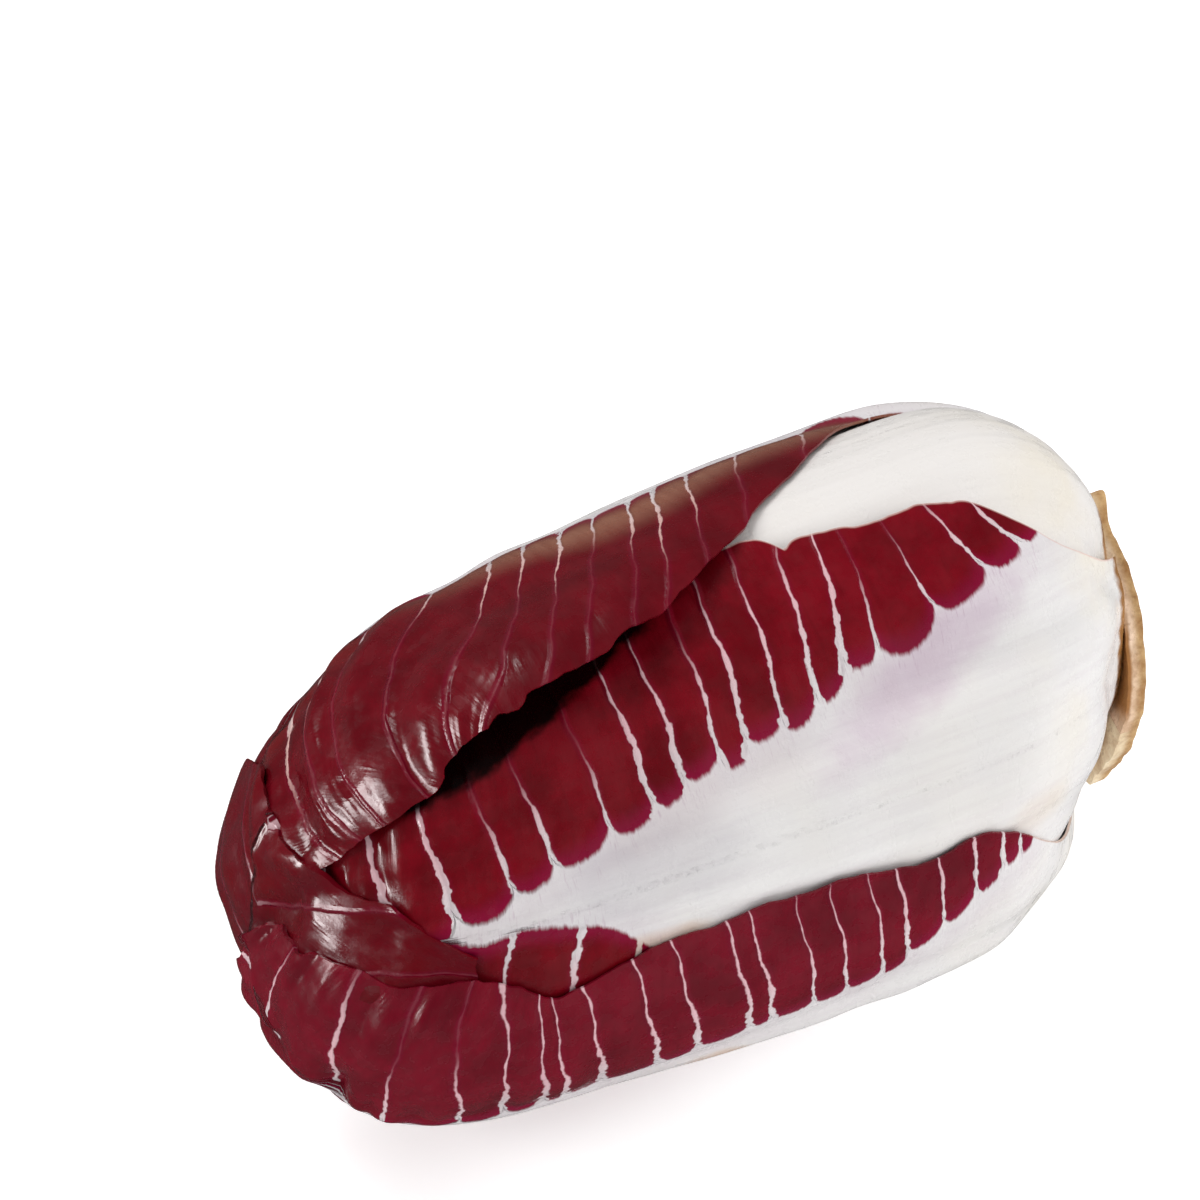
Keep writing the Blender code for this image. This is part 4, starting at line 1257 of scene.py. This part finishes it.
stem_tree.links.new(stem_bump.outputs["Normal"], stem_shader.inputs["Normal"])
print("the stem's finish takes", len(stem_tree.nodes), "nodes")

# %% Start the stem as a disc with fine rings
STEM_TURNS = 240
FACE_RINGS = 44

bpy.ops.object.select_all(action="DESELECT")
bpy.ops.mesh.primitive_cylinder_add(vertices=STEM_TURNS, radius=STEM_RADIUS, depth=STEM_THICKNESS)
stem = start_piece("cut_stem_dried")
bpy.ops.object.mode_set(mode="EDIT")
bpy.ops.mesh.select_mode(type="FACE")
bpy.ops.mesh.select_all(action="DESELECT")
bpy.ops.object.mode_set(mode="OBJECT")
for face in stem.data.polygons:
    face.select = abs(face.normal.z) > 0.9
bpy.ops.object.mode_set(mode="EDIT")
for ring in range(FACE_RINGS):
    bpy.ops.mesh.inset(thickness=STEM_RADIUS / (FACE_RINGS + 2), use_even_offset=False)
bpy.ops.mesh.poke()
bpy.ops.object.mode_set(mode="OBJECT")
print("the disc has", len(stem.data.vertices), "points")

# %% The scars and the crust on its face
SCARS = 11
SCAR_STEP = math.radians(137.5)
SCARS_FROM = 12.0
SCARS_OVER = 10.5
CRUST_WAVES = (5, 9, 14, 23, 37)

disc = points_of(stem)
radius = np.hypot(disc[:, 0], disc[:, 1]) / MM
turn = np.arctan2(disc[:, 1], disc[:, 0])
top = disc[:, 2] > 0
scar_lines = np.zeros(len(disc))
for number in range(SCARS):
    middle = number * SCAR_STEP
    off = (turn - middle + math.pi) % (2 * math.pi) - math.pi
    where = SCARS_FROM + SCARS_OVER * (number + 0.5) / SCARS - 1.9 * (off / 0.8) ** 2
    share = np.clip(1 - (off / 0.95) ** 2, 0, 1)
    ridge = np.exp(-((radius - where) / 0.55) ** 2)
    groove = 0.8 * np.exp(-((radius - where + 1.2) / 0.8) ** 2)
    scar_lines += share * (ridge - groove)
draw = np.random.default_rng(5)
crust = np.zeros(len(disc))
for waves_round in CRUST_WAVES:
    lean_out, phase = draw.uniform(0.2, 1.1), draw.uniform(0, 2 * math.pi)
    furrow = np.sin(waves_round * turn + lean_out * radius + phase)
    crust += 0.8 / waves_round ** 0.6 * furrow * np.clip(radius / 12, 0, 1)
dish = -0.9 * smooth_step(radius / 6 - 0.6) * (1 - smooth_step((radius - 9) / 6))
raised = top * (0.75 * scar_lines + 0.28 * crust + dish) * (1 - smooth_step((radius - 23.2) / 0.8))
print("the face is", round(float(raised.max() - raised.min()), 1), "mm deep from ridge to groove")

# %% Its rim, with a nub at the top and a flake below
NUB_TURN = math.radians(72)
NUB_WIDTH = 0.15
FLAKE_TURN = math.radians(224)
FLAKE_WIDTH = 0.10

nub = np.exp(-((turn - NUB_TURN) / NUB_WIDTH) ** 2)
flake_off = (turn - FLAKE_TURN + math.pi) % (2 * math.pi) - math.pi
flake = np.clip(1 - np.abs(flake_off) / FLAKE_WIDTH, 0, 1)
rim_share = smooth_step((radius - 17) / 7)
bumps = 0.14 * np.sin(17 * turn + 1) + 0.10 * np.sin(29 * turn + disc[:, 2] / MM * 2)
bumps = bumps + 0.07 * np.sin(51 * turn)
radius_now = radius * uneven_rim(turn) + rim_share * (bumps + 3.2 * nub + 1.5 * flake)
forward = raised + top * rim_share * (1.4 * nub - 0.9 * flake)
x_now = CUT_X + STEM_GAP + STEM_THICKNESS / 2 + disc[:, 2] + forward * MM
move_points(stem, np.stack([x_now, radius_now * MM * np.cos(turn), radius_now * MM * np.sin(turn)], -1))
depth = (STEM_THICKNESS / 2 - disc[:, 2]) / MM
keep_values(stem, "stem_place", (radius, depth, turn))
finish_piece(stem, "cut_stem", stem_finish, sharp=50)

# %% [markdown]
# ## Floor, light and camera
#
# The photo was taken on a white table in wide soft light from behind and above. Fills from the
# front and the right keep the near side open. A gloss shows the shape of every light, so the wide
# ones don't show in reflections, and small panes behind and on the left draw the streaks on the
# pleats. The camera looks down at 45 degrees, from a little to the left of the front.

# %% The table and the room
TABLE_GLOW = 0.36
ROOM_LIGHT = 0.42
ROOM_GLEAM = 0.06

bpy.ops.object.select_all(action="DESELECT")
bpy.ops.mesh.primitive_plane_add(size=6)
floor = start_piece("white_table")
floor_finish = bpy.data.materials.new("white table")
floor_finish.use_nodes = True
floor_shader = floor_finish.node_tree.nodes["Principled BSDF"]
floor_shader.inputs["Base Color"].default_value = (0.93, 0.93, 0.93, 1)
floor_shader.inputs["Roughness"].default_value = 0.9
floor_shader.inputs["Emission Color"].default_value = (1, 1, 1, 1)
floor_shader.inputs["Emission Strength"].default_value = TABLE_GLOW
floor.data.materials.append(floor_finish)
floor.visible_glossy = False

world = bpy.data.worlds.new("white room")
bpy.context.scene.world = world
world.use_nodes = True
room = world.node_tree
rays_kind = room.nodes.new("ShaderNodeLightPath")
not_a_gleam = minus(room, 1.0, rays_kind.outputs["Is Glossy Ray"])
room_light = times(room, not_a_gleam, ROOM_LIGHT)
room_light = plus(room, room_light, ROOM_GLEAM)
feed(room, room.nodes["Background"].inputs["Strength"], room_light)
room.nodes["Background"].inputs["Color"].default_value = (1, 1, 1, 1)
print("the room gives", ROOM_LIGHT + ROOM_GLEAM, "of full white, and", ROOM_GLEAM, "of it in reflections")

# %% The lights
LIT_POINT = np.array([0.0, 0.0, 0.04])


def softbox(name, place, size, watts):
    """A soft square light that looks at the head."""
    bpy.ops.object.light_add(type="AREA", location=place)
    light = bpy.context.object
    light.name = name
    light.data.size = size
    light.data.energy = watts
    toward = LIT_POINT - np.array(place)
    pitch = math.acos(-toward[2] / np.linalg.norm(toward))
    heading = math.atan2(toward[1], toward[0])
    light.rotation_euler = (pitch, 0, heading - math.pi / 2)
    return light


softbox("window_behind", (-0.30, 0.70, 1.00), 0.7, 6.5).visible_glossy = False
softbox("front_fill", (0.5, -1.0, 0.9), 1.0, 2.4).visible_glossy = False
softbox("right_fill", (0.95, -0.45, 0.40), 0.5, 5.0).visible_glossy = False
softbox("window_left", (-0.95, 0.05, 0.60), 0.30, 2.4).visible_glossy = False
softbox("window_pane", (-0.15, 0.85, 0.90), 0.16, 1.0)
softbox("pane_left", (-0.85, 0.42, 0.38), 0.45, 9.0).visible_diffuse = False
softbox("pane_low", (-0.95, 0.20, 0.14), 0.22, 3.0).visible_diffuse = False
print(len(bpy.data.lights), "lights")

# %% The camera
CAMERA_TURN = math.radians(-26)
CAMERA_HEIGHT = math.radians(45)
CAMERA_AWAY = 0.8
VIEW_WIDTH = 0.208
AIM = np.array([0.0, 0.0, 0.047])
AIM_RIGHT = -0.0143
AIM_UP = 0.0312
SENSOR_WIDTH = 36

back = np.array([
    math.sin(CAMERA_TURN) * math.cos(CAMERA_HEIGHT),
    -math.cos(CAMERA_TURN) * math.cos(CAMERA_HEIGHT),
    math.sin(CAMERA_HEIGHT),
])
right = np.array([math.cos(CAMERA_TURN), math.sin(CAMERA_TURN), 0.0])
up = np.cross(back, right)
eye = AIM + back * CAMERA_AWAY + right * AIM_RIGHT + up * AIM_UP
bpy.ops.object.camera_add(location=eye, rotation=(math.pi / 2 - CAMERA_HEIGHT, 0, CAMERA_TURN))
camera = bpy.context.object
camera.data.sensor_width = SENSOR_WIDTH
camera.data.lens = SENSOR_WIDTH * CAMERA_AWAY / VIEW_WIDTH
bpy.context.scene.camera = camera
print("the camera stands at", np.round(eye, 3), "m")
